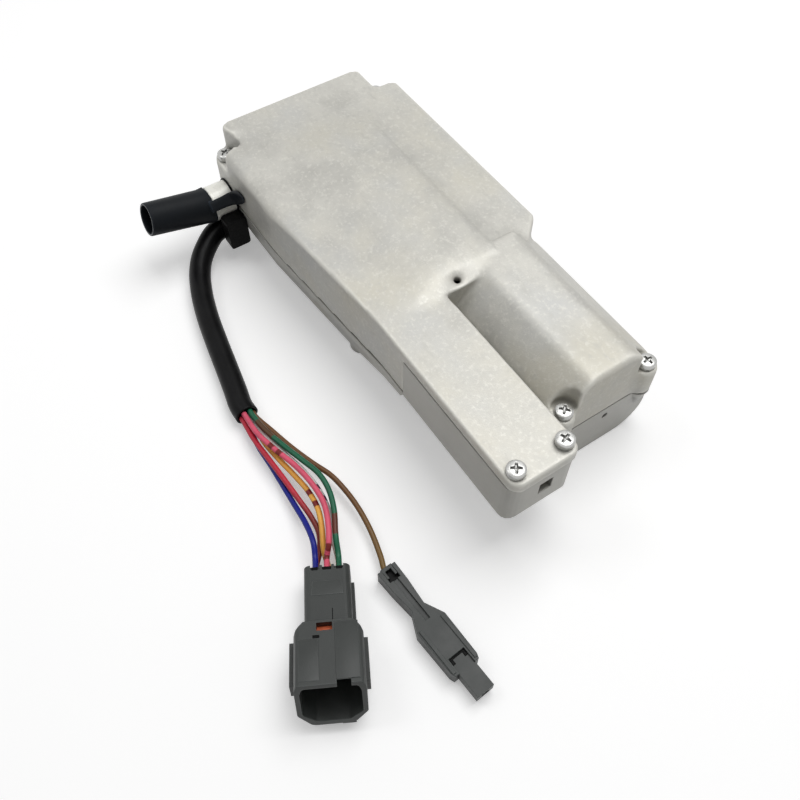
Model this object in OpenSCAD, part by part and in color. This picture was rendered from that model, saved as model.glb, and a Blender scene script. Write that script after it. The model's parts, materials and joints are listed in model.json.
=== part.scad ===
/* [Casting outline] */
// Rear wall, distance behind the origin
rear_x = 65; // [60:1:70]
// Front edge of the flat lid
lid_front_x = 168.5; // [164:0.5:176]
// Front face of the motor section
motor_front_x = 149.3; // [148:0.1:152]
// Motor side wall, distance from the origin
right_y = 47.5; // [46.5:0.5:52]
// Cable side wall at the rear
left_y = 48.8; // [47.8:0.1:54]
// Cable side wall of the front box
box_left_y = 42.5; // [40:0.5:44]
// Motor side edge of the lid and the box
box_right_y = 11; // [10:0.5:12]
// Start of the motor section and its groove
dome_x = 81; // [79:1:84]
// Seam where the top cover's wall ends at the front box
box_seam_x = 96.6; // [92:0.1:98]

/* [Heights] */
// Plateau and lid top
top_z = 54; // [53:0.5:58]
// Parting plane, with the motor and cable axes on it
split_z = 26; // [26:0.5:28]
// Underside of the rear pan
pan_z = 18; // [17:0.5:18.5]
// Underside of the front box
box_floor_z = 25; // [23:0.5:26]
// Top of the motor dome
dome_z = 56.5; // [55.5:0.5:58]
// Height of the raised pad over the plateau
pad_h = 3; // [1.5:0.5:4]
// Top of the low screw ears
ear_z = 41; // [39:0.5:43]
// Lid thickness
lid_t = 6; // [5:0.5:7]

/* [Walls] */
// Cast wall
wall = 3.5; // [3:0.1:3.8]
// Floor of the rear pan
floor_t = 2.5; // [2:0.1:2.8]
// Fillet along the cable side top edge
edge_r = 6; // [4:0.5:7]

/* [Motor] */
// Motor centre line, distance from the origin
motor_y = 21; // [20.5:0.5:22]
// Motor can outside diameter
can_d = 43; // [40:0.5:43.5]
// Rear end of the motor can
can_x = 66; // [65:0.5:70]
// Length of the motor can
can_len = 66; // [62:1:68]
// Wall of the motor can
can_wall = 2; // [1.5:0.1:2.5]
// Motor shaft diameter
shaft_d = 6; // [5:0.5:7]
// Armature diameter
armature_d = 30; // [26:1:31]

/* [Drive] */
// Module of the worm mesh
gear_m = 1.3; // [1.3:0.05:1.35]
// Teeth that a full wheel would have
wheel_teeth = 40; // [38:1:40]
// Pitch diameter of the worm
worm_pitch_d = 14; // [14:0.5:16]
// Worm thread length
worm_len = 34; // [30:1:36]
// Thickness of the quadrant
quadrant_t = 7.4; // [6:0.1:7.6]
// Quadrant centre, distance behind the origin
quadrant_x = 22; // [21:0.5:23]
// Shaft journals of the worm and the quadrant
journal_d = 8; // [7:0.5:8]
// Outside diameter of the plain bushes
bush_d = 12; // [11:0.5:12]
// Running clearance on the radius of each bush
run_gap = 0.05; // [0.03:0.01:0.08]
// Travel of the quadrant in degrees
travel = 70; // [50:5:70]

/* [Mounting] */
// Bolt spacing along the housing
mount_dx = 96; // [92:1:98]
// Bolt spacing across the housing
mount_dy = 66; // [60:1:68]
// Drilled diameter of the tapped mounting holes
mount_hole_d = 5; // [4.2:0.1:6]
// Mounting boss diameter
mount_boss_d = 12; // [11:0.5:13]
// Depth of the mounting holes
mount_depth = 14; // [12:0.5:14]

/* [Screws] */
// Cover screw thread diameter
screw_d = 4; // [3.6:0.1:4]
// Cover screw head diameter
screw_head_d = 7.6; // [7:0.1:8]
// Cover screw head height
screw_head_h = 2.7; // [2.4:0.1:3]

/* [Cable outlet] */
// Outlet centre, distance behind the origin
outlet_x = 48; // [47:0.5:49]
// Outlet collar diameter
outlet_d = 17; // [16:0.5:17.5]
// Visible length of the collar
outlet_len = 11.2; // [10:0.2:12]
// Diameter of the spigot and of the neck in the wall
spigot_d = 13; // [12:0.5:13]
// Cable passage through the outlet
passage_d = 8; // [6:0.5:8.5]
// Boot outside diameter at its mouth
boot_d = 16.8; // [16.2:0.1:17.4]
// Boot outside diameter at its free end
boot_end_d = 15.8; // [15.4:0.1:16.4]
// Straight boot length past the bend
boot_len = 31.5; // [28:0.5:34]
// Angle at which the boot hangs to the rear
boot_bend = 13; // [0:0.5:16]

/* [Plug] */
// Plug width without its side ribs
plug_w = 25.2; // [24.4:0.2:26]
// Plug height at the socket
plug_h = 22.5; // [21.5:0.5:23.5]
// Plug length along its upper rim
plug_len = 51.1; // [50:0.1:52]
// Width of the narrow rear end
plug_tail_w = 17.8; // [17.2:0.2:18.4]
// Height of the narrow rear end
plug_tail_h = 13.4; // [13:0.2:14]
// Length of the narrow rear end
plug_tail_len = 26.3; // [25.5:0.1:27]
// Plug wall
plug_wall = 1.8; // [1.5:0.1:2]

/* [Leads] */
// Sheath diameter
sheath_d = 10.5; // [10:0.1:10.6]
// Lead diameter
lead_d = 2.4; // [2:0.1:2.5]

/* [Hidden] */
$fn = 48;
eps = 0.01;
seat = 0.1;
axis_z = split_z;
cover_low_z = split_z;

// Screw places: rear pair, motor pair, lid pair
rear_screw_x = -rear_x + 8;
motor_screw_x = motor_front_x - 1.8;
lid_screw_x = lid_front_x - 6;
rear_screws = [[rear_screw_x, 5 - left_y], [rear_screw_x, right_y - 5]];
motor_screws = [[motor_screw_x, motor_y - 22], [motor_screw_x, right_y - 5.2]];
lid_screws = [[lid_screw_x, -box_left_y + 4.5], [lid_screw_x, -box_right_y - 4.5]];
ear_r = 5;
pocket_r = 6;
ear_corner_r = 9;
notch_len = 18;
notch_w = 11.3;
notch_flare = 3.2;
washer_t = 1;
tap_d = screw_d - 0.7;
clear_d = screw_d + 0.5;

// Motor section
motor_left_y = motor_y - 26.5;
bay_r = can_d / 2 + 1.3;
bay_x = can_x - 3;
bay_end_x = motor_front_x - 4.8;
shoulder_z = 41;
shoulder_w = 15;
trough_r = 14;
small_bay_r = 14;
small_bay_x = 14;
worm_bay_r = 9.6;
ceiling_z = top_z - wall;
floor_z = pan_z + floor_t;
lid_z = top_z - lid_t;
lid_lip = 0.4;
pad_x = [-38, 74];
pad_y = [-22, 21.5];
pad_slope = 7;

// Worm mesh
wheel_r = gear_m * wheel_teeth / 2;
worm_r = worm_pitch_d / 2;
pitch = PI * gear_m;
quadrant_y = motor_y - wheel_r - worm_r;
backlash = 0.2;
lead_angle = atan(pitch / (PI * worm_pitch_d));
hub_r = 9;
quadrant_z = axis_z - quadrant_t / 2;
flange_t = 1.5;
flange_d = bush_d + 4;
flange_gap = 0.3;
worm_x0 = -quadrant_x - worm_len / 2;
worm_x1 = -quadrant_x + worm_len / 2;
bush_len = 10;
rear_bush_x = worm_x0 - flange_gap - flange_t - bush_len;
front_bush_x = worm_x1 + flange_gap + flange_t;
hub_top_z = quadrant_z + 12;
bridge_z = hub_top_z + flange_gap + flange_t;
bridge_t = 3;
post_dx = 32;
post_dy = [16, 18];
posts = [[-quadrant_x - post_dx, quadrant_y - post_dy[0]], [-quadrant_x + post_dx, quadrant_y - post_dy[1]], [-quadrant_x, right_y - wall - 6]];
post_r = 4;
bridge_screw_d = 4;
groove_r = outlet_x - quadrant_x;

// Coupling
coupling_r = 12;
hub_len = 14;
jaw_len = 6;
jaw_gap = 0.3;
worm_hub_x = 22;
spider_x = worm_hub_x + hub_len + jaw_gap;
motor_hub_x = spider_x + jaw_len;
worm_tail_x = worm_hub_x + hub_len - 1;
motor_shaft_x = motor_hub_x + 1;

// Motor
can_end_x = can_x + can_len;
cap_t = 4;
nose_len = 4;
nose_r = 8;
magnet_gap = 0.6;
core_len = 36;
winding_len = 4.6;
winding_gap = 0.4;
commutator_len = 9;
commutator_x = can_end_x - 11;
core_x = commutator_x - winding_gap - winding_len - core_len;

// Circuit board in the front box
board_z = 33;
board_t = 1.6;
board_x = [104, lid_screw_x - 5.5];
board_y = [-box_left_y + wall + 2, -box_right_y - wall - 2];
board_hole_inset = 3.5;
window_y = [-29.3, -23];
window_z = [36.5, 44];

// Cable outlet
stub_y = -left_y;
boot_y = stub_y - outlet_len;
spigot_len = 2;
boot_ease = 0.25;
boot_back = 3.4;
tongue_angle = 38;
tongue_w = 6.4;
tongue_t = 2.4;
bend_y = boot_y - spigot_len / 2;
grommet_x = -35.3;
grommet_w = 7;
grommet_z = 8;
grommet_h = 17;
grommet_out = 10.4;
grommet_hole_z = 22.6;
grommet_hole_r = 2;
exit_x = -44.7;
exit_y = -53.5;
exit_z = 11.9;

// Plug place: rear edge on the surface, nose up as it rests on its rear edges
plug_at = [142.6, -107.95];
plug_yaw = -28.4;
plug_low = 5.5;
plug_lip = 3.7;
plug_shoulder = [4.5, 3.6];
plug_rib = [3.4, 16.8, 2.6];
plug_rib_right = 1.9;
plug_mid_z = plug_low + plug_tail_h / 2;
plug_tilt = atan(plug_low / plug_tail_len);
plug_drop = plug_low * cos(plug_tilt) - 0.05;
plug_floor_x = plug_tail_len + 4;
cavity_y = [-4.6, 0, 4.6];
cavity_z = [plug_mid_z - 2.9, plug_mid_z + 2.9];
cavity_d = 3.4;

// Tab connector place
tab_at = [151.3, -86.6, 0];
tab_yaw = 4.5;
tab_h = 8.6;
tab_entry_z = 4.3;

// Sheath route, end to end
sheath_route = [
    [exit_x, exit_y, exit_z], [exit_x, exit_y - 3.5, exit_z], [-43.6, -62.5, 11.6], [-39.9, -68.8, 10],
    [-35, -74.6, 8], [-28, -79.4, 6.5], [-17, -84, 5.6], [-3, -88, 5.4], [13, -91.3, 5.4],
    [29, -94.2, 5.4], [42, -96.6, 5.4], [51, -98.4, 5.4], [57, -98.4, 5.4]
];
// Lead routes from the sheath's end, each ending at its plug
blue_route = [
    [57, -99.9, 2.9], [60, -99.9, 2.9], [72, -101.5, 3], [84, -101.6, 3.5], [96, -102.1, 4.2],
    [107, -102.6, 5.2], [117, -103.3, 7.4], [127, -105.2, 9.6]
];
red_route = [
    [57, -101.3, 5.6], [60, -101.3, 5.6], [70, -101.9, 6.4], [82, -101.4, 7], [94, -100.7, 7],
    [106, -100.1, 6.4], [115, -99.7, 5.6], [123, -100.6, 5], [129.8, -104.6, 3.6]
];
yellow_route = [
    [57, -97.1, 2.9], [60, -97.1, 2.9], [72, -98.6, 4.4], [84, -97.9, 6.7], [96, -96.2, 7.6],
    [106, -95.3, 8.4], [115, -96.1, 8.8], [123, -99, 8.6], [131, -103, 6.4]
];
pink_route = [
    [57, -99.7, 8], [60, -99.7, 8], [70, -99.8, 9.3], [82, -97.4, 10.3], [94, -94.3, 11.2],
    [106, -92.9, 12], [116, -93.5, 12], [125, -96.9, 12], [132, -101, 11.2]
];
green_route = [
    [57, -96.9, 7.9], [60, -96.9, 7.9], [70, -96, 8.6], [82, -93.3, 9.5], [93, -90.3, 10.3],
    [102.5, -88, 11], [111, -88.4, 11], [120, -91.3, 11], [130, -96.6, 10.6]
];
white_route = [
    [57, -98.4, 5.4], [60, -98.4, 5.4], [71, -97, 6.4], [83, -94.8, 7.2], [95, -92.4, 8],
    [107, -91.3, 7.8], [117, -92.5, 7], [126, -96.4, 5.6]
];
brown_route = [
    [57, -95.6, 5.4], [60, -95.6, 5.4], [70, -93.2, 5.4], [82, -90.3, 5.6], [94, -86.6, 6],
    [103, -83.2, 5.9], [111, -81.8, 5.5], [121, -81.3, 5], [133, -82.4, 4.6], [145.3, -85.2, 4.4],
    [149.8, -86.7, 4.3]
];

function unit(v) = v / norm(v);

function arc(c, r, a0, a1, n) =
    [for (i = [0:n]) c + r * [cos(a0 + (a1 - a0) * i / n), sin(a0 + (a1 - a0) * i / n)]];

function turn_to(a, b) = (a - b + 900) % 360 - 180;

function corner(a, b, c, r, n) =
    let (
        u = unit(a - b),
        w = unit(c - b),
        half = acos(u * w) / 2,
        o = b + unit(u + w) * r / sin(half),
        p = b + u * r / tan(half) - o,
        q = b + w * r / tan(half) - o,
        start = atan2(p.y, p.x),
        sweep = turn_to(atan2(q.y, q.x), start)
    )
    r <= 0 ? [b] : arc(o, r, start, start + sweep, n);

// Outline with its corners rounded, one radius for each corner
function rounded(pts, radii, n = 5) =
    let (k = len(pts))
    [for (i = [0:k - 1]) each corner(pts[(i + k - 1) % k], pts[i], pts[(i + 1) % k], radii[i], n)];

// Box outline with four equal corner radii
function box_outline(x0, x1, y0, y1, r) =
    rounded([[x0, y0], [x1, y0], [x1, y1], [x0, y1]], [r, r, r, r]);

// Tube of n sides along a route, with flat ends across the first and last stretch
function route_dir(p, i) =
    i == 0 ? unit(p[1] - p[0])
    : i == len(p) - 1 ? unit(p[i] - p[i - 1])
    : unit(unit(p[i + 1] - p[i]) + unit(p[i] - p[i - 1]));

function ring(c, d, r, n) =
    let (side = unit(cross(d, [0, 0, 1])), up = cross(side, d))
    [for (k = [0:n - 1]) c + r * (side * cos(360 * k / n) + up * sin(360 * k / n))];

module tube(route, d, n = 8) {
    count = len(route);
    points = [for (i = [0:count - 1]) each ring(route[i], route_dir(route, i), d / 2, n)];
    sides = [
        for (i = [0:count - 2], k = [0:n - 1])
            [i * n + k, (i + 1) * n + k, (i + 1) * n + (k + 1) % n, i * n + (k + 1) % n]
    ];
    first = [for (k = [0:n - 1]) k];
    last = [for (k = [n - 1:-1:0]) (count - 1) * n + k];
    polyhedron(points, concat(sides, [first, last]));
}

// Cylinder along X from x0 to x1
module rod_x(x0, x1, r, y = 0, z = 0) {
    translate([x0, y, z]) rotate([0, 90, 0]) cylinder(h = x1 - x0, r = r);
}

// Cylinder along Y from y0 to y1
module rod_y(y0, y1, r, x = 0, z = 0) {
    translate([x, y1, z]) rotate([90, 0, 0]) cylinder(h = y1 - y0, r = r);
}

module ring_x(x0, x1, r_out, r_in, y = 0, z = 0) {
    difference() {
        rod_x(x0, x1, r_out, y, z);
        rod_x(x0 - 1, x1 + 1, r_in, y, z);
    }
}

// A profile given as Y and height, laid along the housing from x0 to x1
module along(x0, x1, profile) {
    translate([x0, 0, 0]) rotate([90, 0, 90]) linear_extrude(x1 - x0) polygon(profile);
}

// A profile given as X and height, laid across the housing
module across(profile) {
    translate([0, 100, 0]) rotate([90, 0, 0]) linear_extrude(200) polygon(profile);
}

// Rear plateau: the tapering wall runs out of the long fillet of its top edge
plateau_plan = rounded(
    [
        [-rear_x, -left_y], [-3, -left_y], [dome_x, lid_lip - box_left_y], [dome_x, 33],
        [dome_x - 7, right_y - 9.5], [dome_x - 15.4, right_y], [-rear_x, right_y]
    ],
    [ear_corner_r, 0, 0, 0, 1.5, 3, ear_corner_r]);
plateau_section = concat(
    [[-left_y - 1, 0]],
    [[-left_y - 1, top_z - edge_r - 2]],
    arc([-left_y + edge_r - 0.4, top_z - edge_r], edge_r, 165, 90, 6),
    [[right_y + 1, top_z], [right_y + 1, 0]]);

module plateau_form() {
    intersection() {
        linear_extrude(top_z) polygon(plateau_plan);
        along(-rear_x - 1, dome_x + 1, plateau_section);
    }
}

// Raised pad in line with the motor, its flanks sloping down to the plateau
module pad_form() {
    low = top_z - 1;
    high = top_z + pad_h;
    intersection() {
        along(pad_x[0] - 9, dome_x - 0.5, [
            [pad_y[0] - 6, low], [pad_y[0] - 6, top_z], [pad_y[0] + 8, high], [pad_y[1] - 2, high],
            [pad_y[1], top_z], [pad_y[1], low]
        ]);
        across([
            [pad_x[0] - 4, low], [pad_x[0] - 4, top_z], [pad_x[0] + 16, high],
            [dome_x - pad_slope, high], [dome_x - 0.5, top_z], [dome_x - 0.5, low]
        ]);
    }
}

dome_profile = rounded(
    [
        [motor_left_y, 0], [motor_left_y, shoulder_z], [motor_left_y + shoulder_w, dome_z],
        [right_y - shoulder_w, dome_z], [right_y, shoulder_z], [right_y, 0]
    ],
    [0, 3, 7, 7, 3, 0], 4);
dome_edge = 2.5;

module dome_form() {
    intersection() {
        along(dome_x - 12, motor_front_x + 1, dome_profile);
        across(concat(
            [[dome_x - 13, 0], [dome_x - 13, dome_z + 1]],
            [[motor_front_x - dome_edge - 1, dome_z + 1]],
            arc([motor_front_x - dome_edge, dome_z - dome_edge], dome_edge, 90, 0, 4),
            [[motor_front_x, 0]]));
    }
}

// Flat lid over the front box, and the wall behind it
module lid_form() {
    translate([0, 0, lid_z])
        linear_extrude(lid_t)
            polygon(rounded(
                [[dome_x - 10, -box_left_y], [lid_front_x, -box_left_y], [lid_front_x, -box_right_y], [dome_x - 10, -box_right_y]],
                [0, 5, 5, 0]));
    translate([dome_x - 2, lid_lip - box_left_y, cover_low_z])
        cube([box_seam_x - dome_x + 2, box_left_y - lid_lip - box_right_y, top_z - cover_low_z - 1]);
}

// Corner notch over a rear screw, side 1 on the motor side and -1 on the cable side
module rear_notch(side, wall_y, flare) {
    edge = wall_y - notch_w;
    mirror([0, side < 0 ? 1 : 0, 0])
        translate([0, 0, ear_z])
            linear_extrude(top_z)
                polygon(concat(
                    [[-rear_x - 5, edge + flare - 4], [-rear_x, edge + flare - 3]],
                    arc([-rear_x + 3, edge + flare - 3], 3, 180, 90, 4),
                    arc([-rear_x + notch_len - 4, edge + 4], 4, 270, 360, 5),
                    arc([-rear_x + notch_len + 3, wall_y - 3], 3, 180, 90, 4),
                    [[-rear_x + notch_len + 3, wall_y + 6], [-rear_x - 5, wall_y + 6]]));
}

// Inside of the rear section in plan, with solid blocks kept at the screw corners
function inner_plan(end_x) = [
    [-rear_x + notch_len + wall, wall - left_y], [-3, wall - left_y], [dome_x, wall - box_left_y],
    [end_x, wall - box_left_y], [end_x, -box_right_y - wall], [dome_x - wall, -box_right_y - wall],
    [dome_x - wall, right_y - 9.5 - wall], [dome_x - 18, right_y - wall],
    [-rear_x + notch_len + wall, right_y - wall], [-rear_x + notch_len + wall, right_y - notch_w - wall],
    [-rear_x + wall, right_y - notch_w - wall], [-rear_x + wall, notch_w + wall - left_y],
    [-rear_x + notch_len + wall, notch_w + wall - left_y]
];

module cable_passage() {
    rod_y(-left_y - 1, notch_w + wall + 1 - left_y, passage_d / 2 + seat, -outlet_x, axis_z);
    rod_y(-left_y - 1, -left_y + 8.8, spigot_d / 2, -outlet_x, axis_z);
}

// Ribs that grip the motor can, and saddles that hold the worm bushes
module motor_ribs(z0, z1) {
    for (x = [can_x + 6, can_end_x - 9])
        intersection() {
            ring_x(x, x + 3, bay_r + 1, can_d / 2 + seat, motor_y, axis_z);
            translate([x - 1, motor_y - 40, z0]) cube([5, 80, z1 - z0]);
        }
}

module bush_saddles(z0, z1) {
    for (x = [rear_bush_x, front_bush_x])
        translate([x, motor_y - 8, z0]) cube([bush_len, 16, z1 - z0]);
}

module bush_bores() {
    for (x = [rear_bush_x, front_bush_x])
        rod_x(x - 1, x + bush_len + 1, bush_d / 2, motor_y, axis_z);
}

module top_cover() {
    color([0.76, 0.755, 0.74])
    difference() {
        union() {
            difference() {
                union() {
                    plateau_form();
                    pad_form();
                    dome_form();
                    lid_form();
                    for (p = motor_screws)
                        translate([p.x, p.y, cover_low_z]) cylinder(h = ear_z - cover_low_z, r = ear_r);
                }
                rear_notch(1, right_y, 0);
                rear_notch(-1, left_y, notch_flare);
                for (p = motor_screws)
                    translate([p.x, p.y, ear_z]) cylinder(h = 30, r = pocket_r);
                translate([0, 0, cover_low_z - 1])
                    linear_extrude(ceiling_z - cover_low_z + 1)
                        polygon(inner_plan(box_seam_x + 1));
                rod_x(bay_x, bay_end_x, bay_r, motor_y, axis_z);
                translate([bay_x, motor_y - bay_r, cover_low_z - 9])
                    cube([bay_end_x - bay_x, 2 * bay_r, 9]);
            }
            bush_saddles(axis_z, ceiling_z + 1);
            motor_ribs(axis_z, top_z);
        }
        bush_bores();
        cable_passage();
        for (p = concat(rear_screws, motor_screws, lid_screws))
            translate([p.x, p.y, cover_low_z - 1]) cylinder(h = top_z, d = clear_d);
        translate([dome_x - 4, motor_y - 23.5, top_z - wall - 2]) cylinder(h = 12, d = 3.4);
        translate([-100, -100, -eps]) cube([400, 200, cover_low_z + eps]);
    }
}

// Lower casting: side view of the pan, its underside rising to the front box
pan_side = [
    [-rear_x, split_z], [-rear_x, pan_z + 2], [-rear_x + 2, pan_z], [58, pan_z],
    [box_seam_x - 2, box_floor_z - 3], [box_seam_x, box_floor_z], [box_seam_x, split_z]
];

pan_inside = [
    [-rear_x, floor_z], [58, floor_z], [box_seam_x - 2, box_floor_z - 3 + floor_t],
    [box_seam_x - 2, split_z + 30], [-rear_x, split_z + 30]
];

module pan_form() {
    intersection() {
        linear_extrude(split_z)
            polygon(rounded(
                [
                    [-rear_x, -left_y], [-3, -left_y], [dome_x, -box_left_y], [box_seam_x, -box_left_y],
                    [box_seam_x, motor_left_y + 2], [dome_x, 33], [dome_x - 7, right_y - 9.5],
                    [dome_x - 15.4, right_y], [-rear_x, right_y]
                ],
                [ear_corner_r, 0, 0, 0, 0, 0, 1.5, 3, ear_corner_r]));
        translate([0, 100, 0]) rotate([90, 0, 0]) linear_extrude(200) polygon(pan_side);
    }
}

// Deep trough under the motor, flat below with round flanks
trough_profile = concat(
    [[motor_left_y, split_z]],
    arc([motor_left_y + trough_r, trough_r], trough_r, 180, 270, 8),
    arc([right_y - trough_r, trough_r], trough_r, 270, 360, 8),
    [[right_y, split_z]]);

module trough_form() {
    translate([bay_x - wall, 0, 0])
        rotate([90, 0, 90])
            linear_extrude(motor_front_x - bay_x + wall)
                polygon(trough_profile);
    rod_x(small_bay_x - wall, bay_x, small_bay_r + wall, motor_y, axis_z);
    rod_x(rear_bush_x + 6, small_bay_x, worm_bay_r + 3, motor_y, axis_z);
}

// Front box with round corners, the lower front edge rounded
module box_form() {
    intersection() {
        translate([0, 0, box_floor_z])
            linear_extrude(lid_z - box_floor_z)
                polygon(rounded(
                    [
                        [box_seam_x - 4, -box_left_y], [lid_front_x - 0.5, -box_left_y],
                        [lid_front_x - 0.5, -box_right_y], [box_seam_x - 4, -box_right_y]
                    ],
                    [0, 6, 6, 0]));
        across(concat(
            [[box_seam_x - 5, top_z], [box_seam_x - 5, box_floor_z - 1], [lid_front_x - 6, box_floor_z - 1]],
            arc([lid_front_x - 4.5, box_floor_z + 4], 4, 270, 360, 4),
            [[lid_front_x - 0.5, top_z]]));
    }
    translate([box_seam_x - 4, -box_right_y - 1, box_floor_z - 6])
        cube([motor_front_x - box_seam_x + 4 - wall, motor_left_y + box_right_y + 3, split_z - box_floor_z + 6]);
}

module mount_bosses() {
    for (x = [-mount_dx / 2, mount_dx / 2], y = [-mount_dy / 2, mount_dy / 2])
        translate([x, y, 0]) cylinder(h = pan_z + 1, d = mount_boss_d);
}

module mount_holes() {
    for (x = [-mount_dx / 2, mount_dx / 2], y = [-mount_dy / 2, mount_dy / 2])
        translate([x, y, -1]) cylinder(h = mount_depth + 1, d = mount_hole_d);
}

module board_posts() {
    for (x = [board_x[0] + board_hole_inset, board_x[1] - board_hole_inset],
         y = [board_y[0] + board_hole_inset, board_y[1] - board_hole_inset])
        translate([x, y, box_floor_z + 1]) cylinder(h = board_z - box_floor_z - 1, r = 2.6);
}

module lower_housing() {
    color([0.72, 0.715, 0.7])
    difference() {
        union() {
            difference() {
                union() {
                    pan_form();
                    trough_form();
                    box_form();
                    mount_bosses();
                    for (p = motor_screws)
                        translate([p.x, p.y, 10]) cylinder(h = split_z - 10, r1 = 0.6, r2 = ear_r);
                    translate([-quadrant_x, quadrant_y, pan_z - 10]) cylinder(h = 11, r = 10);
                }
                intersection() {
                    linear_extrude(split_z + 20) polygon(inner_plan(box_seam_x - 2));
                    translate([0, 100, 0]) rotate([90, 0, 0]) linear_extrude(200) polygon(pan_inside);
                }
                rod_x(bay_x, bay_end_x, bay_r, motor_y, axis_z);
                rod_x(small_bay_x, bay_x + 1, small_bay_r, motor_y, axis_z);
                rod_x(rear_bush_x + bush_len, small_bay_x + 1, worm_bay_r, motor_y, axis_z);
                translate([bay_x, motor_y - bay_r, axis_z]) cube([bay_end_x - bay_x, 2 * bay_r, 30]);
                translate([0, 0, box_floor_z + wall - 0.5])
                    linear_extrude(30)
                        polygon(rounded(
                            [
                                [box_seam_x - 6, wall - box_left_y], [lid_front_x - wall - 0.5, wall - box_left_y],
                                [lid_front_x - wall - 0.5, -box_right_y - wall], [box_seam_x - 6, -box_right_y - wall]
                            ],
                            [0, 3, 3, 0]));
                translate([0, 0, split_z])
                    linear_extrude(40)
                        polygon([[-100, -100], [box_seam_x, -100], [box_seam_x, 100], [-100, 100]]);
            }
            bush_saddles(pan_z + 1, axis_z);
            motor_ribs(2, axis_z);
            for (p = posts)
                translate([p.x, p.y, pan_z + 1]) cylinder(h = bridge_z - pan_z - 1, r = post_r);
            for (p = lid_screws)
                translate([p.x, p.y, box_floor_z + 1]) cylinder(h = lid_z - box_floor_z - 1, r = 4.2);
            board_posts();
        }
        bush_bores();
        cable_passage();
        mount_holes();
        translate([-quadrant_x, quadrant_y, pan_z - 8]) cylinder(h = 20, d = bush_d);
        rod_y(-left_y - 1, wall + 1 - left_y, grommet_hole_r, grommet_x, grommet_hole_z);
        for (p = concat(rear_screws, motor_screws))
            translate([p.x, p.y, split_z - 6]) cylinder(h = 10, d = tap_d);
        for (p = lid_screws)
            translate([p.x, p.y, lid_z - 12]) cylinder(h = 20, d = tap_d);
        for (p = posts)
            translate([p.x, p.y, bridge_z - 9]) cylinder(h = 10, d = bridge_screw_d - 0.7);
        for (x = [board_x[0] + board_hole_inset, board_x[1] - board_hole_inset],
             y = [board_y[0] + board_hole_inset, board_y[1] - board_hole_inset])
            translate([x, y, board_z - 4]) cylinder(h = 5, d = 2.5);
        translate([lid_front_x - 8, window_y[0], window_z[0]])
            cube([12, window_y[1] - window_y[0], window_z[1] - window_z[0]]);
        rod_x(bay_end_x - 1, motor_front_x + 5, 1.5, motor_y + 3, axis_z - 5.5);
    }
}

// Pan head with a cross recess, its thread below z = 0
module pan_screw(len, d, head_d, head_h) {
    difference() {
        union() {
            rotate_extrude()
                polygon(concat(
                    [[0, 0], [head_d / 2, 0]],
                    arc([head_d / 2 - 1.1, head_h - 1.3], 1.1, 0, 70, 3),
                    [[0, head_h]]));
            translate([0, 0, -len]) cylinder(h = len + 0.5, d = d);
        }
        for (a = [0, 90])
            rotate(a)
                translate([-head_d * 0.3, -0.55, head_h - 1.5]) cube([head_d * 0.6, 1.1, 3]);
    }
}

module cover_screws() {
    color([0.82, 0.82, 0.8]) {
        for (p = concat(rear_screws, motor_screws))
            translate([p.x, p.y, ear_z + washer_t])
                pan_screw(ear_z + washer_t - split_z + 5.5, tap_d, screw_head_d, screw_head_h);
        for (p = lid_screws)
            translate([p.x, p.y, top_z + washer_t])
                pan_screw(lid_t + washer_t + 10, tap_d, screw_head_d, screw_head_h);
    }
}

// Split ring under each head
module spring_washers() {
    color([0.7, 0.7, 0.68])
        for (p = concat([for (q = rear_screws) [q.x, q.y, ear_z]],
                        [for (q = motor_screws) [q.x, q.y, ear_z]],
                        [for (q = lid_screws) [q.x, q.y, top_z]]))
            translate(p)
                difference() {
                    cylinder(h = washer_t, d = screw_head_d - 0.4);
                    translate([0, 0, -1]) cylinder(h = 3, d = screw_d + 0.2);
                    translate([0, -0.4, -1]) cube([screw_head_d, 0.8, 3]);
                }
}

module motor_can() {
    color([0.55, 0.56, 0.57])
    difference() {
        union() {
            rod_x(can_x, can_end_x, can_d / 2, motor_y, axis_z);
            rod_x(can_x - nose_len, can_x + 1, nose_r, motor_y, axis_z);
        }
        rod_x(can_x + can_wall, can_end_x + 1, can_d / 2 - can_wall, motor_y, axis_z);
        rod_x(can_x - nose_len - 1, can_x + 9, shaft_d / 2 + 2, motor_y, axis_z);
    }
}

module motor_end_cap() {
    color([0.2, 0.2, 0.21])
    difference() {
        union() {
            rod_x(can_end_x, can_end_x + cap_t, can_d / 2, motor_y, axis_z);
            rod_x(can_end_x - 2, can_end_x + 1, can_d / 2 - can_wall - seat, motor_y, axis_z);
            rod_x(can_end_x, can_end_x + cap_t + nose_len, nose_r, motor_y, axis_z);
            for (side = [-1, 1])
                translate([can_end_x - 11, motor_y - 4.5, axis_z + side * 12.5 - 4.5]) cube([12, 9, 9]);
        }
        rod_x(can_end_x - 3, can_end_x + cap_t + nose_len - 1, shaft_d / 2 + 2, motor_y, axis_z);
        for (side = [-1, 1])
            translate([can_end_x - 10, motor_y - 2.5, axis_z + (side > 0 ? 5 : -18)]) cube([7, 5, 13]);
    }
}

// Two arc magnets in the can
module motor_magnets() {
    color([0.25, 0.24, 0.24])
        for (side = [0, 180])
            translate([core_x - 2, motor_y, axis_z])
                rotate([side - 60, 0, 0])
                    rotate([0, 90, 0])
                        rotate([0, 0, 90])
                            rotate_extrude(angle = 120)
                                translate([armature_d / 2 + magnet_gap, 0])
                                    square([can_d / 2 - can_wall - seat / 2 - armature_d / 2 - magnet_gap, core_len + 4]);
}

module motor_brushes() {
    color([0.22, 0.2, 0.2])
        for (side = [-1, 1])
            translate([can_end_x - 9.8, motor_y - 2.3, axis_z + (side > 0 ? 6.1 : -17.1)]) cube([6.6, 4.6, 11]);
}

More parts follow.
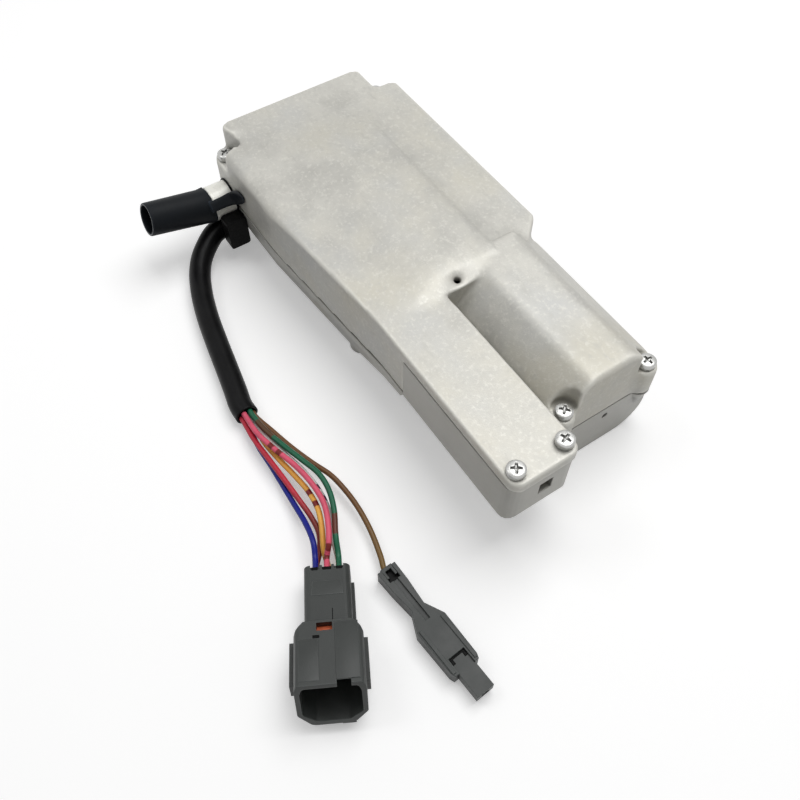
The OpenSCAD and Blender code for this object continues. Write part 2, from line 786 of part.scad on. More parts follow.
module motor_bushes() {
    color([0.7, 0.55, 0.32]) {
        ring_x(can_x - nose_len, can_x + can_wall, shaft_d / 2 + 2, shaft_d / 2 + run_gap, motor_y, axis_z);
        ring_x(can_end_x + 1, can_end_x + cap_t + nose_len - 1, shaft_d / 2 + 2, shaft_d / 2 + run_gap, motor_y, axis_z);
    }
}

module motor_shaft() {
    color([0.68, 0.69, 0.7])
        rod_x(motor_shaft_x, can_end_x + cap_t + nose_len - 1.3, shaft_d / 2, motor_y, axis_z);
}

// Laminated armature with slots for the windings
module armature_core() {
    slots = 10;
    color([0.5, 0.5, 0.52])
    difference() {
        rod_x(core_x, core_x + core_len, armature_d / 2, motor_y, axis_z);
        rod_x(core_x - 1, core_x + core_len + 1, shaft_d / 2, motor_y, axis_z);
        for (k = [0:slots - 1])
            translate([core_x - 1, motor_y, axis_z])
                rotate([360 * k / slots, 0, 0]) {
                    translate([0, armature_d / 2 - 3, -0.8]) cube([core_len + 2, 5, 1.6]);
                    rod_x(0, core_len + 2, 1.9, armature_d / 2 - 4.2, 0);
                }
    }
}

module armature_windings() {
    color([0.72, 0.38, 0.2])
        for (x = [core_x - winding_len, core_x + core_len])
            ring_x(x, x + winding_len, armature_d / 2 - 2.5, shaft_d / 2, motor_y, axis_z);
}

module commutator() {
    bars = 10;
    x0 = commutator_x;
    color([0.75, 0.45, 0.25])
    difference() {
        ring_x(x0, x0 + commutator_len, 6, shaft_d / 2, motor_y, axis_z);
        for (k = [0:bars - 1])
            translate([x0 - 1, motor_y, axis_z])
                rotate([360 * k / bars, 0, 0])
                    translate([0, 5.2, -0.25]) cube([11, 2, 0.5]);
    }
}

// Three jaws of one coupling half, from x0 to x1
module jaws(x0, x1, turn) {
    for (k = [0:2])
        translate([x0, motor_y, axis_z])
            rotate([120 * k + turn - 23, 0, 0])
                rotate([0, 90, 0])
                    rotate([0, 0, 90])
                        rotate_extrude(angle = 46)
                            translate([5.2, 0]) square([coupling_r - 5.6, x1 - x0]);
}

module coupling_worm_hub() {
    color([0.8, 0.8, 0.82])
    difference() {
        union() {
            rod_x(worm_hub_x, worm_hub_x + hub_len, coupling_r, motor_y, axis_z);
            jaws(worm_hub_x + hub_len - 1, spider_x + jaw_len - jaw_gap, 0);
        }
        rod_x(worm_hub_x - 1, worm_hub_x + hub_len + 1, journal_d / 2, motor_y, axis_z);
    }
}

module coupling_motor_hub() {
    color([0.8, 0.8, 0.82])
    difference() {
        union() {
            rod_x(motor_hub_x, motor_hub_x + hub_len, coupling_r, motor_y, axis_z);
            jaws(spider_x + jaw_gap, motor_hub_x + 1, 60);
        }
        rod_x(motor_hub_x - 1, motor_hub_x + hub_len + 1, shaft_d / 2, motor_y, axis_z);
    }
}

// Six rubber legs between the jaws
module coupling_spider() {
    color([0.75, 0.25, 0.15]) {
        rod_x(spider_x + jaw_gap, spider_x + jaw_len - jaw_gap, 4.8, motor_y, axis_z);
        for (k = [0:5])
            translate([spider_x + jaw_gap, motor_y, axis_z])
                rotate([60 * k + 30, 0, 0])
                    translate([0.3, 4, -0.5]) cube([jaw_len - 2 * jaw_gap - 0.6, coupling_r - 4.5, 1]);
    }
}

// Thread of the worm as one closed helical body of n columns, four points to a pitch
worm_sides = 24;
worm_root_r = worm_r - gear_m * 1.23;
worm_tip_r = worm_r + gear_m;
thread_half = pitch / 4 - backlash / 2;
function thread_point(i) =
    let (
        k = i % 4,
        flank = tan(20),
        root_half = thread_half + (worm_r - worm_root_r) * flank,
        tip_half = thread_half - (worm_tip_r - worm_r) * flank
    )
    [
        floor(i / 4) * pitch + [-root_half, -tip_half, tip_half, root_half][k],
        [worm_root_r, worm_tip_r, worm_tip_r, worm_root_r][k]
    ];
worm_turns = floor(worm_len / pitch) - 2;
worm_rows = 4 * worm_turns;
function thread_vertex(j, i) =
    let (p = thread_point(i), a = 360 * j / worm_sides)
    [p[0] + pitch * j / worm_sides, p[1] * cos(a), p[1] * sin(a)];

module worm_thread() {
    rows = worm_rows;
    n = worm_sides;
    stride = rows + 1;
    body = [for (j = [0:n - 1], i = [0:rows]) thread_vertex(j, i)];
    tail = [for (i = [rows - 3:rows]) thread_vertex(n, i)];
    tail_at = n * stride;
    caps = [[thread_point(0)[0] + pitch / 2, 0, 0], [thread_point(rows)[0] + pitch / 2, 0, 0]];
    first_cap = tail_at + 4;
    last_cap = first_cap + 1;
    at = function (j, i) j < n ? j * stride + i : i + 4 <= rows ? i + 4 : tail_at + i - rows + 3;
    sides = [
        for (j = [0:n - 1], i = [0:rows - 1]) each [
            [at(j, i), at(j, i + 1), at(j + 1, i + 1)],
            [at(j, i), at(j + 1, i + 1), at(j + 1, i)]
        ]
    ];
    low_edge = concat([for (j = [0:n]) at(j, 0)], [3, 2, 1]);
    high_edge = concat([for (j = [0:n]) at(j, rows)], [for (i = [rows - 1:-1:rows - 3]) at(n, i)]);
    low_cap = [for (k = [0:len(low_edge) - 1]) [first_cap, low_edge[k], low_edge[(k + 1) % len(low_edge)]]];
    high_cap = [for (k = [0:len(high_edge) - 1]) [last_cap, high_edge[(k + 1) % len(high_edge)], high_edge[k]]];
    polyhedron(concat(body, tail, caps), concat(sides, low_cap, high_cap));
}

module worm() {
    color([0.6, 0.61, 0.62]) {
        translate([-quadrant_x - pitch * floor(worm_turns / 2), motor_y, axis_z]) worm_thread();
        rod_x(worm_x0, worm_x1, worm_root_r - 0.1, motor_y, axis_z);
        rod_x(rear_bush_x, worm_tail_x, journal_d / 2, motor_y, axis_z);
    }
}

// Plain bush with a flange at z = 0 and its body above
module bush(len) {
    difference() {
        union() {
            translate([0, 0, 0]) cylinder(h = len, d = bush_d);
            translate([0, 0, -flange_t]) cylinder(h = flange_t, d = flange_d);
        }
        translate([0, 0, -flange_t - 1]) cylinder(h = len + flange_t + 2, d = journal_d + 2 * run_gap);
    }
}

module worm_bushes() {
    color([0.72, 0.57, 0.33]) {
        translate([rear_bush_x + bush_len, motor_y, axis_z]) rotate([0, -90, 0]) bush(bush_len);
        translate([front_bush_x, motor_y, axis_z]) rotate([0, 90, 0]) bush(bush_len);
    }
}

// Involute teeth of the quadrant, cut for the worm's lead angle
function inv(a) = tan(a) * 180 / PI - a;
function tooth_half(r) =
    let (base = wheel_r * cos(20), tip = acos(min(1, base / r)))
    90 / wheel_teeth - backlash / 4 / wheel_r * 180 / PI + inv(20) - inv(tip);
tooth_radii = [wheel_r - 1.23 * gear_m, wheel_r - 0.6 * gear_m, wheel_r, wheel_r + 0.55 * gear_m, wheel_r + gear_m];
tooth_first = -3;
web_recess = 1;
tooth_last = 11;

module toothed_rim() {
    step = 360 / wheel_teeth;
    outer = [
        for (k = [tooth_first:tooth_last]) each concat(
            [for (r = tooth_radii) r * [cos(90 + k * step - tooth_half(r)), sin(90 + k * step - tooth_half(r))]],
            [for (i = [len(tooth_radii) - 1:-1:0])
                let (r = tooth_radii[i]) r * [cos(90 + k * step + tooth_half(r)), sin(90 + k * step + tooth_half(r))]])
    ];
    a0 = 90 + tooth_first * step - step / 2;
    a1 = 90 + tooth_last * step + step / 2;
    inner_r = wheel_r - 1.23 * gear_m - 3;
    twist = quadrant_t * tan(lead_angle) / wheel_r * 180 / PI;
    rotate(-twist / 2)
        linear_extrude(quadrant_t, twist = -twist, slices = 4)
            polygon(concat(
                outer,
                [tooth_radii[0] * [cos(a1), sin(a1)]],
                arc([0, 0], inner_r, a1, a0, 14),
                [tooth_radii[0] * [cos(a0), sin(a0)]]));
}

// Grooved rim that the cable wraps on
module sheave_rim() {
    low = quadrant_t * 0.27;
    rotate(200)
        rotate_extrude(angle = 78)
            polygon([
                [groove_r - 4, 0], [groove_r + 2, 0], [groove_r + 2, low], [groove_r - 1, low + 1],
                [groove_r - 1, quadrant_t - low - 1], [groove_r + 2, quadrant_t - low],
                [groove_r + 2, quadrant_t], [groove_r - 4, quadrant_t]
            ]);
}

module drive_quadrant() {
    disc_r = wheel_r - 1.23 * gear_m - 1.2;
    color([0.74, 0.6, 0.34])
    translate([-quadrant_x, quadrant_y, quadrant_z])
    difference() {
        union() {
            toothed_rim();
            sheave_rim();
            translate([0, 0, web_recess]) cylinder(h = quadrant_t - 2 * web_recess, r = disc_r);
            cylinder(h = hub_top_z - quadrant_z, r = hub_r);
        }
        translate([0, 0, -1]) cylinder(h = 40, d = journal_d);
        for (a = [20, 80, 140, 260])
            rotate(a) translate([16, 0, -1]) cylinder(h = 20, r = 4);
        rotate(210) translate([groove_r - 2, 0, quadrant_t * 0.3]) cylinder(h = 20, d = 4.5);
        rotate([90, 0, 0]) translate([0, hub_top_z - quadrant_z - 2.6, -20]) cylinder(h = 40, d = 2.5);
    }
}

module quadrant_shaft() {
    color([0.65, 0.66, 0.67])
    difference() {
        union() {
            translate([-quadrant_x, quadrant_y, pan_z - 7.7]) cylinder(h = bridge_z + bridge_t - pan_z + 7.5, d = journal_d);
            translate([-quadrant_x, quadrant_y, pan_z]) cylinder(h = bridge_z + bridge_t - pan_z + 8, d = journal_d - 2);
        }
        translate([-quadrant_x, quadrant_y, hub_top_z - 2.6]) rotate([90, 0, 0]) translate([0, 0, -20]) cylinder(h = 40, d = 2.5);
    }
}

module quadrant_pin() {
    color([0.5, 0.5, 0.5])
        rod_y(quadrant_y - hub_r + 0.3, quadrant_y + hub_r - 0.3, 1.25, -quadrant_x, hub_top_z - 2.6);
}

module quadrant_lower_bush() {
    color([0.72, 0.57, 0.33])
        translate([-quadrant_x, quadrant_y, floor_z]) rotate([180, 0, 0]) bush(floor_z - pan_z + 7.5);
}

module quadrant_upper_bush() {
    color([0.72, 0.57, 0.33])
        translate([-quadrant_x, quadrant_y, bridge_z]) bush(bridge_t);
}

// Three-armed plate over the quadrant
module bearing_bridge() {
    c = [-quadrant_x, quadrant_y];
    color([0.62, 0.63, 0.64])
    translate([0, 0, bridge_z])
    difference() {
        union() {
            translate([c.x, c.y, 0]) cylinder(h = bridge_t, r = 14);
            for (p = posts) {
                d = unit(p - c);
                s = [-d.y, d.x] * 4.6;
                linear_extrude(bridge_t) polygon([c + s, p + s, p - s, c - s]);
                translate([p.x, p.y, 0]) cylinder(h = bridge_t, r = 5);
            }
        }
        translate([c.x, c.y, -1]) cylinder(h = 10, d = bush_d);
        for (p = posts)
            translate([p.x, p.y, -1]) cylinder(h = 10, d = bridge_screw_d + 0.4);
    }
}

module bridge_screws() {
    color([0.8, 0.8, 0.78])
        for (p = posts)
            translate([p.x, p.y, bridge_z + bridge_t]) pan_screw(bridge_t + 7, bridge_screw_d - 0.7, 7, 2.5);
}

// Hollow-shaft angle sensor on the bridge
module position_sensor() {
    z0 = bridge_z + bridge_t;
    color([0.12, 0.2, 0.3])
    translate([-quadrant_x, quadrant_y, z0])
    difference() {
        union() {
            cylinder(h = 8.6, r = 11);
            translate([-6, -16, 0]) cube([12, 10, 6]);
            for (x = [-4, 0, 4]) translate([x - 0.6, -18, 2]) cube([1.2, 4, 1]);
        }
        translate([0, 0, -1]) cylinder(h = 20, d = journal_d - 2 + 2 * seat);
    }
}

module circuit_board() {
    color([0.1, 0.35, 0.2])
    difference() {
        translate([board_x[0], board_y[0], board_z])
            cube([board_x[1] - board_x[0], board_y[1] - board_y[0], board_t]);
        for (x = [board_x[0] + board_hole_inset, board_x[1] - board_hole_inset],
             y = [board_y[0] + board_hole_inset, board_y[1] - board_hole_inset])
            translate([x, y, board_z - 1]) cylinder(h = 5, d = 3.2);
    }
}

module board_screws() {
    color([0.8, 0.8, 0.78])
        for (x = [board_x[0] + board_hole_inset, board_x[1] - board_hole_inset],
             y = [board_y[0] + board_hole_inset, board_y[1] - board_hole_inset])
            translate([x, y, board_z + board_t]) pan_screw(board_t + 3, 2.5, 5, 1.8);
}

module board_relay() {
    color([0.1, 0.1, 0.12])
        translate([board_x[0] + 8, board_y[0] + 4, board_z + board_t]) cube([16, 12, 11]);
}

module board_capacitors() {
    color([0.15, 0.2, 0.45])
        for (y = [board_y[0] + 6, board_y[0] + 15])
            translate([board_x[0] + 31, y, board_z + board_t]) cylinder(h = 10, r = 3.6);
}

// Service header that faces the window
module board_header() {
    x0 = board_x[1] - 14;
    color([0.85, 0.83, 0.75])
    difference() {
        translate([x0, window_y[0] + 0.2, board_z + board_t]) cube([12, window_y[1] - window_y[0] - 0.4, 11]);
        translate([x0 + 4, window_y[0] + 1.2, board_z + board_t + 4]) cube([12, window_y[1] - window_y[0] - 2.4, 5.5]);
    }
}

module outlet_stub() {
    color([0.86, 0.85, 0.78])
    difference() {
        union() {
            rod_y(boot_y, stub_y, outlet_d / 2, -outlet_x, axis_z);
            rod_y(boot_y - spigot_len, stub_y + 8.6, spigot_d / 2, -outlet_x, axis_z);
        }
        rod_y(boot_y - 20, stub_y + 20, passage_d / 2, -outlet_x, axis_z);
    }
}

// Rubber boot over the spigot, bent to the rear, with a tongue back to the wall
module outlet_boot() {
    inner_r = spigot_d / 2 + boot_ease;
    color([0.07, 0.08, 0.1])
    difference() {
        union() {
            difference() {
                translate([-outlet_x, bend_y, axis_z])
                    rotate([90 - boot_bend, 0, 0])
                        translate([0, 0, -boot_back]) cylinder(h = boot_len + boot_back, d1 = boot_d, d2 = boot_end_d);
                translate([-outlet_x - boot_d, boot_y, axis_z - boot_d]) cube([2 * boot_d, 9, 2 * boot_d]);
            }
            translate([-outlet_x, stub_y, axis_z])
                rotate([0, -tongue_angle, 0]) {
                    translate([outlet_d / 2 + seat, -outlet_len - 3, -tongue_w / 2])
                        cube([tongue_t, outlet_len + 3, tongue_w]);
                    translate([outlet_d / 2 - 1, -outlet_len - 3, -tongue_w / 2])
                        cube([2, 3 - seat, tongue_w]);
                    translate([outlet_d / 2 + tongue_t + 1.6, -1.8, 0])
                        rotate([-90, 0, 0]) cylinder(h = 1.8, d = tongue_w);
                }
        }
        translate([-outlet_x, bend_y, axis_z])
            rotate([90 - boot_bend, 0, 0])
                translate([0, 0, -boot_back]) cylinder(h = boot_len + boot_back + 1, r = inner_r);
    }
}

// Moulded grommet: a plug in the wall beside the collar, with the harness leaving below the collar
module harness_grommet() {
    x0 = grommet_x - grommet_w / 2;
    color([0.05, 0.05, 0.05]) {
        translate([x0, 0, grommet_z])
            rotate([90, 0, 90])
                linear_extrude(grommet_w)
                    polygon(box_outline(-left_y - grommet_out, -left_y, 0, grommet_h, 1.5));
        translate([exit_x - 5.4, exit_y, exit_z - 5.5]) cube([x0 - exit_x + 7, 6.2, 10.9]);
        rod_y(-left_y - 1, wall - left_y + 1.5, grommet_hole_r - seat / 2, grommet_x, grommet_hole_z);
    }
}

module harness_sheath() {
    color([0.06, 0.065, 0.07]) tube(sheath_route, sheath_d, 12);
}

// Point in the plug's own frame: along the plug, across it, and up
function plug_point(x, y, z) =
    let (
        fx = x * cos(plug_tilt) - z * sin(plug_tilt),
        fz = x * sin(plug_tilt) + z * cos(plug_tilt)
    )
    [
        plug_at.x + fx * cos(plug_yaw) - y * sin(plug_yaw),
        plug_at.y + fx * sin(plug_yaw) + y * cos(plug_yaw),
        fz - plug_drop
    ];

module lead(route, y, z) {
    tube(concat(route, [plug_point(-6, y, z), plug_point(0, y, z)]), lead_d);
}

module lead_blue() { color([0.08, 0.12, 0.6]) lead(blue_route, cavity_y[0], cavity_z[1]); }
module lead_red() { color([0.75, 0.1, 0.15]) lead(red_route, cavity_y[0], cavity_z[0]); }
module lead_yellow() { color([0.95, 0.7, 0.2]) lead(yellow_route, cavity_y[1], cavity_z[0]); }
module lead_pink() { color([0.95, 0.4, 0.5]) lead(pink_route, cavity_y[1], cavity_z[1]); }
module lead_green() { color([0.05, 0.4, 0.25]) lead(green_route, cavity_y[2], cavity_z[1]); }
module lead_white() { color([0.85, 0.84, 0.8]) lead(white_route, cavity_y[2], cavity_z[0]); }
module lead_brown() {
    color([0.45, 0.3, 0.1])
        tube(concat(brown_route, [tab_at + [0, 0, tab_entry_z]]), lead_d);
}

module in_plug_place() {
    translate([plug_at.x, plug_at.y, -plug_drop]) rotate([0, -plug_tilt, plug_yaw]) children();
}

// Outline of the plug across its length, as y and height
function shroud_outline(grow) =
    let (w = plug_w / 2 + grow, h = plug_h + grow)
    rounded(
        [[-w + 5, -grow], [w - 5, -grow], [w, 6], [w, h - 3], [w - 1, h], [-w + 1, h], [-w, h - 3], [-w, 6]],
        [3, 3, 2, 2, 1.5, 1.5, 2, 2], 3);

module along_plug(x0, x1, outline) {
    translate([x0, 0, 0]) rotate([90, 0, 90]) linear_extrude(x1 - x0) polygon(outline);
}

// Limits the plug's forms to its shoulders, which narrow towards the tail
module within_shoulders() {
    intersection() {
        children();
        linear_extrude(plug_h + 1)
            polygon([
                for (side = [1, -1]) each let (w = plug_w / 2, q = [
                    [plug_tail_len, w - plug_shoulder[1]],
                    [plug_tail_len + plug_shoulder[0], w + 0.5], [plug_len + 10, w + 0.5]
                ]) side > 0 ? q : [for (i = [2:-1:0]) [q[i].x, -q[i].y]]
            ]);
    }
}

// Open window over the retainer, cut through the shroud
module plug_window() {
    translate([plug_tail_len + 0.8, -4.2, plug_h - 4]) cube([3.2, 5.8, 8]);
}

// Shroud round the socket, its mouth slanted and notched
module plug_housing() {
    color([0.3, 0.32, 0.31])
    in_plug_place()
    difference() {
        union() {
            within_shoulders()
                along_plug(plug_tail_len, plug_len + plug_lip, shroud_outline(0));
            for (side = [-1, 1])
                let (proud = side > 0 ? plug_rib_right : plug_rib[2])
                translate([plug_tail_len + plug_rib[0], side > 0 ? plug_w / 2 - 0.5 : 0.5 - plug_w / 2 - proud, 7])
                    cube([plug_rib[1], proud, 7]);
            translate([plug_len - 9, 3, -0.5]) cube([plug_lip + 9, 5, 1.5]);
        }
        along_plug(plug_tail_len - 1, plug_len + 8, shroud_outline(-plug_wall));
        translate([plug_len, -20, plug_h]) rotate([0, atan(plug_h / plug_lip), 0]) translate([-20, 0, 0]) cube([60, 40, 20]);
        plug_window();
        translate([plug_len - 3, 2.5, plug_h - 3]) cube([8, 5, 6]);
    }
}

// Tail with the cavities of the leads, ending in the socket's floor
module plug_body() {
    top = plug_low + plug_tail_h;
    color([0.3, 0.32, 0.31])
    in_plug_place()
    difference() {
        union() {
            along_plug(0, plug_tail_len + 1, box_outline(-plug_tail_w / 2, plug_tail_w / 2, plug_low, top, 2.5));
            within_shoulders()
                along_plug(plug_tail_len, plug_floor_x + 3, shroud_outline(-plug_wall - seat / 2));
            translate([4, plug_tail_w / 2 - 0.5, plug_low + 1.5]) cube([plug_tail_len - 4 - seat, 1.7, 4]);
        }
        for (y = cavity_y, z = cavity_z)
            translate([-1, y, z]) rotate([0, 90, 0]) cylinder(h = plug_floor_x + 6, d = cavity_d);
        for (y = cavity_y)
            translate([-1, y - 1.8, top - 1.4]) cube([3, 3.6, 3]);
        translate([plug_tail_len - 1, -7.2, cavity_z[1] + 1.9]) cube([plug_floor_x - plug_tail_len + 6, 14.4, 2.6]);
        plug_window();
    }
}

module plug_retainer() {
    color([0.75, 0.25, 0.12])
    in_plug_place()
        translate([plug_tail_len - 0.8, -7, cavity_z[1] + 2.1]) cube([plug_floor_x - plug_tail_len + 5.4, 14, 2.2]);
}

// Blades standing in the socket, each on a round barrel in its cavity
module plug_pins() {
    color([0.8, 0.78, 0.7])
    in_plug_place()
        for (y = cavity_y, z = cavity_z)
            translate([0, y, z]) {
                rotate([0, 90, 0]) translate([0, 0, 7]) cylinder(h = plug_floor_x - 5, d = cavity_d - 0.1);
                translate([plug_floor_x, -1, -0.4]) cube([9.5, 2, 0.8]);
            }
}

module plug_seals() {
    color([0.45, 0.12, 0.1])
    in_plug_place()
        for (y = cavity_y, z = cavity_z)
            translate([0, y, z]) rotate([0, 90, 0]) cylinder(h = 6.8, d = cavity_d);
}

module in_tab_place() {
    translate(tab_at) rotate([0, 0, tab_yaw]) children();
}

// Half widths of the tab holder at stations along it
tab_stations = [[0, 4.2], [9, 3.9], [20, 2.9], [28, 6.7], [47, 6.3], [49, 5.6]];

module tab_holder() {
    color([0.3, 0.32, 0.31])
    in_tab_place()
    difference() {
        union() {
            translate([0, 0, 0.5])
                linear_extrude(tab_h - 1)
                    polygon(concat(tab_stations, [for (i = [len(tab_stations) - 1:-1:0]) [tab_stations[i][0], -tab_stations[i][1]]]));
            for (side = [-1, 1])
                translate([28, side * 5.2 - 0.7, 0]) cube([20, 1.4, tab_h]);
        }
        translate([26, -4.1, 1.8]) cube([30, 8.2, 5.6]);
        translate([42.5, -3.7, 5]) cube([10, 7.4, 6]);
        translate([-1, -2.5, tab_h - 3.2]) cube([7, 5, 6]);
        translate([6, -1.1, tab_h - 1.5]) cube([20, 2.2, 3]);
        translate([-1, 0, tab_entry_z]) rotate([0, 90, 0]) cylinder(h = 30, d = 2.8);
    }
}

module tab_nose() {
    color([0.34, 0.36, 0.35])
    in_tab_place()
    difference() {
        translate([26.2, -3.9, 2]) cube([33.3, 7.8, 5.2]);
        translate([45, -1.7, 2.9]) cube([20, 3.4, 2.8]);
        translate([25, 0, tab_entry_z]) rotate([0, 90, 0]) cylinder(h = 21, d = 2.8);
    }
}

module tab_terminal() {
    color([0.8, 0.78, 0.7])
    in_tab_place() {
        translate([0, 0, tab_entry_z]) rotate([0, 90, 0]) cylinder(h = 45.5, d = 2.6);
        translate([45, -1.2, tab_entry_z - 0.4]) cube([10, 2.4, 0.8]);
    }
}

top_cover();
lower_housing();
cover_screws();
spring_washers();
motor_can();
motor_end_cap();
motor_magnets();
motor_brushes();
motor_bushes();
motor_shaft();
armature_core();
armature_windings();
commutator();
coupling_motor_hub();
coupling_spider();
coupling_worm_hub();
worm();
worm_bushes();
drive_quadrant();
quadrant_shaft();
quadrant_pin();
quadrant_lower_bush();
quadrant_upper_bush();
bearing_bridge();
bridge_screws();
position_sensor();
circuit_board();
board_screws();
board_relay();
board_capacitors();
board_header();
outlet_stub();
outlet_boot();
harness_grommet();
harness_sheath();
lead_blue();
lead_red();
lead_yellow();
lead_pink();
lead_green();
lead_white();
lead_brown();
plug_housing();
plug_body();
plug_retainer();
plug_pins();
plug_seals();
tab_holder();
tab_nose();
tab_terminal();
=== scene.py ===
import json
import math

import bmesh
import bpy
import numpy as np
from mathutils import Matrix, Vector


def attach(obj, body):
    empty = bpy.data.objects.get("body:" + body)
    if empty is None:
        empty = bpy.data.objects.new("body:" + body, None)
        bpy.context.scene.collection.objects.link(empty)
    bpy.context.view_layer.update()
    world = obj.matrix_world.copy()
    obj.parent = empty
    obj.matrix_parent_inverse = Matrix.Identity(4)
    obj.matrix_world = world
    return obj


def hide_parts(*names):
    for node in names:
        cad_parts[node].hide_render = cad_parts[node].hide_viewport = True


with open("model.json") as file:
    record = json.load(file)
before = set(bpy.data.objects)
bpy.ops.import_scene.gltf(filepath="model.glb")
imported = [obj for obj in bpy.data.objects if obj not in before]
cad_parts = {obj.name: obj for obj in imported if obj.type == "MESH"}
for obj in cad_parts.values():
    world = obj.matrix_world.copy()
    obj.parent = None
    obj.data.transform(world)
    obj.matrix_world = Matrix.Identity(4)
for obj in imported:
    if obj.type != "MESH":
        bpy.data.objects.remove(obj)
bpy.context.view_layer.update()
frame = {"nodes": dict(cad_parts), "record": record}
nodes = frame["nodes"]
scene = bpy.context.scene

# Camera, fitted to the photograph's frame of 800 by 800
cam_data = bpy.data.cameras.new("camera")
cam_data.lens = 38.45
cam_data.sensor_width = 36.0
cam_data.clip_start = 0.01
cam_data.clip_end = 20
cam = bpy.data.objects.new("camera", cam_data)
cam.location = (0.261, -0.1525, 0.324)
back = Vector((0.4562, -0.3012, 0.8373)).normalized()
cam.rotation_euler = (-back).to_track_quat("-Z", "Y").to_euler()
scene.collection.objects.link(cam)
scene.camera = cam


# Rays that the bevel and the crease nodes take
NEAR_SAMPLES = 6


def new_material(name):
    m = bpy.data.materials.new(name)
    m.use_nodes = True
    tree = m.node_tree
    tree.nodes.clear()
    out = tree.nodes.new("ShaderNodeOutputMaterial")
    bsdf = tree.nodes.new("ShaderNodeBsdfPrincipled")
    tree.links.new(bsdf.outputs[0], out.inputs[0])
    return m, tree, bsdf


# Link a socket, or give it a plain number or colour
def feed(tree, sock, val):
    if hasattr(val, "is_linked"):
        tree.links.new(val, sock)
    elif isinstance(val, (int, float)):
        sock.default_value = val
    else:
        sock.default_value = (*val, 1)


def noise(tree, scale, detail=3.0, rough=0.55, stretch=None):
    place = tree.nodes.new("ShaderNodeTexCoord").outputs["Object"]
    n = tree.nodes.new("ShaderNodeTexNoise")
    n.inputs["Scale"].default_value = scale
    n.inputs["Detail"].default_value = detail
    n.inputs["Roughness"].default_value = rough
    if stretch:
        mp = tree.nodes.new("ShaderNodeMapping")
        mp.inputs["Scale"].default_value = stretch
        tree.links.new(place, mp.inputs[0])
        place = mp.outputs[0]
    tree.links.new(place, n.inputs["Vector"])
    return n.outputs["Fac"]


def ramp(tree, fac, stops):
    r = tree.nodes.new("ShaderNodeValToRGB")
    el = r.color_ramp.elements
    while len(el) > 1:
        el.remove(el[-1])
    el[0].position, el[0].color = stops[0][0], (*stops[0][1], 1)
    for pos, col in stops[1:]:
        e = el.new(pos)
        e.color = (*col, 1)
    tree.links.new(fac, r.inputs[0])
    return r.outputs[0]


# Inputs 6 and 7 and output 2 are the mix node's colours
def mix(tree, fac, a, b):
    n = tree.nodes.new("ShaderNodeMix")
    n.data_type = "RGBA"
    for i, val in ((0, fac), (6, a), (7, b)):
        feed(tree, n.inputs[i], val)
    return n.outputs[2]


def remap(tree, fac, lo, hi, low=0.0, high=1.0):
    n = tree.nodes.new("ShaderNodeMapRange")
    for i, val in enumerate((fac, lo, hi, low, high)):
        feed(tree, n.inputs[i], val)
    return n.outputs[0]


def math_node(tree, op, a, b):
    n = tree.nodes.new("ShaderNodeMath")
    n.operation = op
    for i, val in ((0, a), (1, b)):
        feed(tree, n.inputs[i], val)
    return n.outputs[0]


def rounding(tree, radius):
    b = tree.nodes.new("ShaderNodeBevel")
    b.samples = NEAR_SAMPLES
    b.inputs["Radius"].default_value = radius
    return b.outputs[0]


def bump(tree, height, distance, strength=1.0, normal=None):
    b = tree.nodes.new("ShaderNodeBump")
    b.inputs["Distance"].default_value = distance
    b.inputs["Strength"].default_value = strength
    tree.links.new(height, b.inputs["Height"])
    if normal is not None:
        tree.links.new(normal, b.inputs["Normal"])
    return b.outputs[0]


def edge_mask(tree, radius, gain):
    bev = rounding(tree, radius)
    geo = tree.nodes.new("ShaderNodeNewGeometry")
    dot = tree.nodes.new("ShaderNodeVectorMath")
    dot.operation = "DOT_PRODUCT"
    tree.links.new(bev, dot.inputs[0])
    tree.links.new(geo.outputs["Normal"], dot.inputs[1])
    inv = math_node(tree, "SUBTRACT", 1.0, dot.outputs["Value"])
    return remap(tree, inv, 0.0, gain)


# Mask for painted shade in creases and recesses, from nearby surfaces
def hollows(tree, reach):
    ao = tree.nodes.new("ShaderNodeAmbientOcclusion")
    ao.samples = NEAR_SAMPLES
    ao.inputs["Distance"].default_value = reach
    return remap(tree, ao.outputs["AO"], 0.25, 0.8, 0.8, 0.0)


def shade(color, k):
    return tuple(min(1.0, c * k) for c in color)


def tinted(color, tint):
    return tuple(c * k for c, k in zip(color, tint))


# Plain material: mottle is its scale and spread, grain its scale and depth in metres. The edges are
# lightened by the given share, and painted shade darkens what lies within the given distance of another
# face
def surface(name, color, rough, metal, mottle, grain,
            edge=0.0004, rough_spread=0.1, spec=0.5, coat=0.0, edge_lightening=0.0, painted_shade_reach=0.0):
    m, tree, bsdf = new_material(name)
    soft = noise(tree, mottle[0], 4, 0.6)
    darker, lighter = shade(color, 1 - mottle[1]), shade(color, 1 + mottle[1])
    col = ramp(tree, soft, [(0.25, darker), (0.5, color), (0.75, lighter)])
    # Lighter edges, by the given share
    if edge_lightening:
        col = mix(tree, edge_mask(tree, edge * 1.6, 0.25), col, shade(color, 1 + edge_lightening))
    # Painted shade: darker within the given distance of another face, in creases and recesses
    if painted_shade_reach:
        col = mix(tree, hollows(tree, painted_shade_reach), col, shade(color, 0.12))
    tree.links.new(col, bsdf.inputs["Base Color"])
    uneven = remap(tree, soft, 0.3, 0.7, rough - rough_spread, rough + rough_spread)
    tree.links.new(uneven, bsdf.inputs["Roughness"])
    bsdf.inputs["Metallic"].default_value = metal
    bsdf.inputs["Specular IOR Level"].default_value = spec
    bsdf.inputs["Coat Weight"].default_value = coat
    bsdf.inputs["Coat Roughness"].default_value = 0.25
    fine = noise(tree, grain[0], 2, 0.5)
    normal = bump(tree, fine, grain[1], normal=rounding(tree, edge))
    tree.links.new(normal, bsdf.inputs["Normal"])
    return m


CAST_GRAIN = 0.00007
CAST_ROUNDING = 0.0009
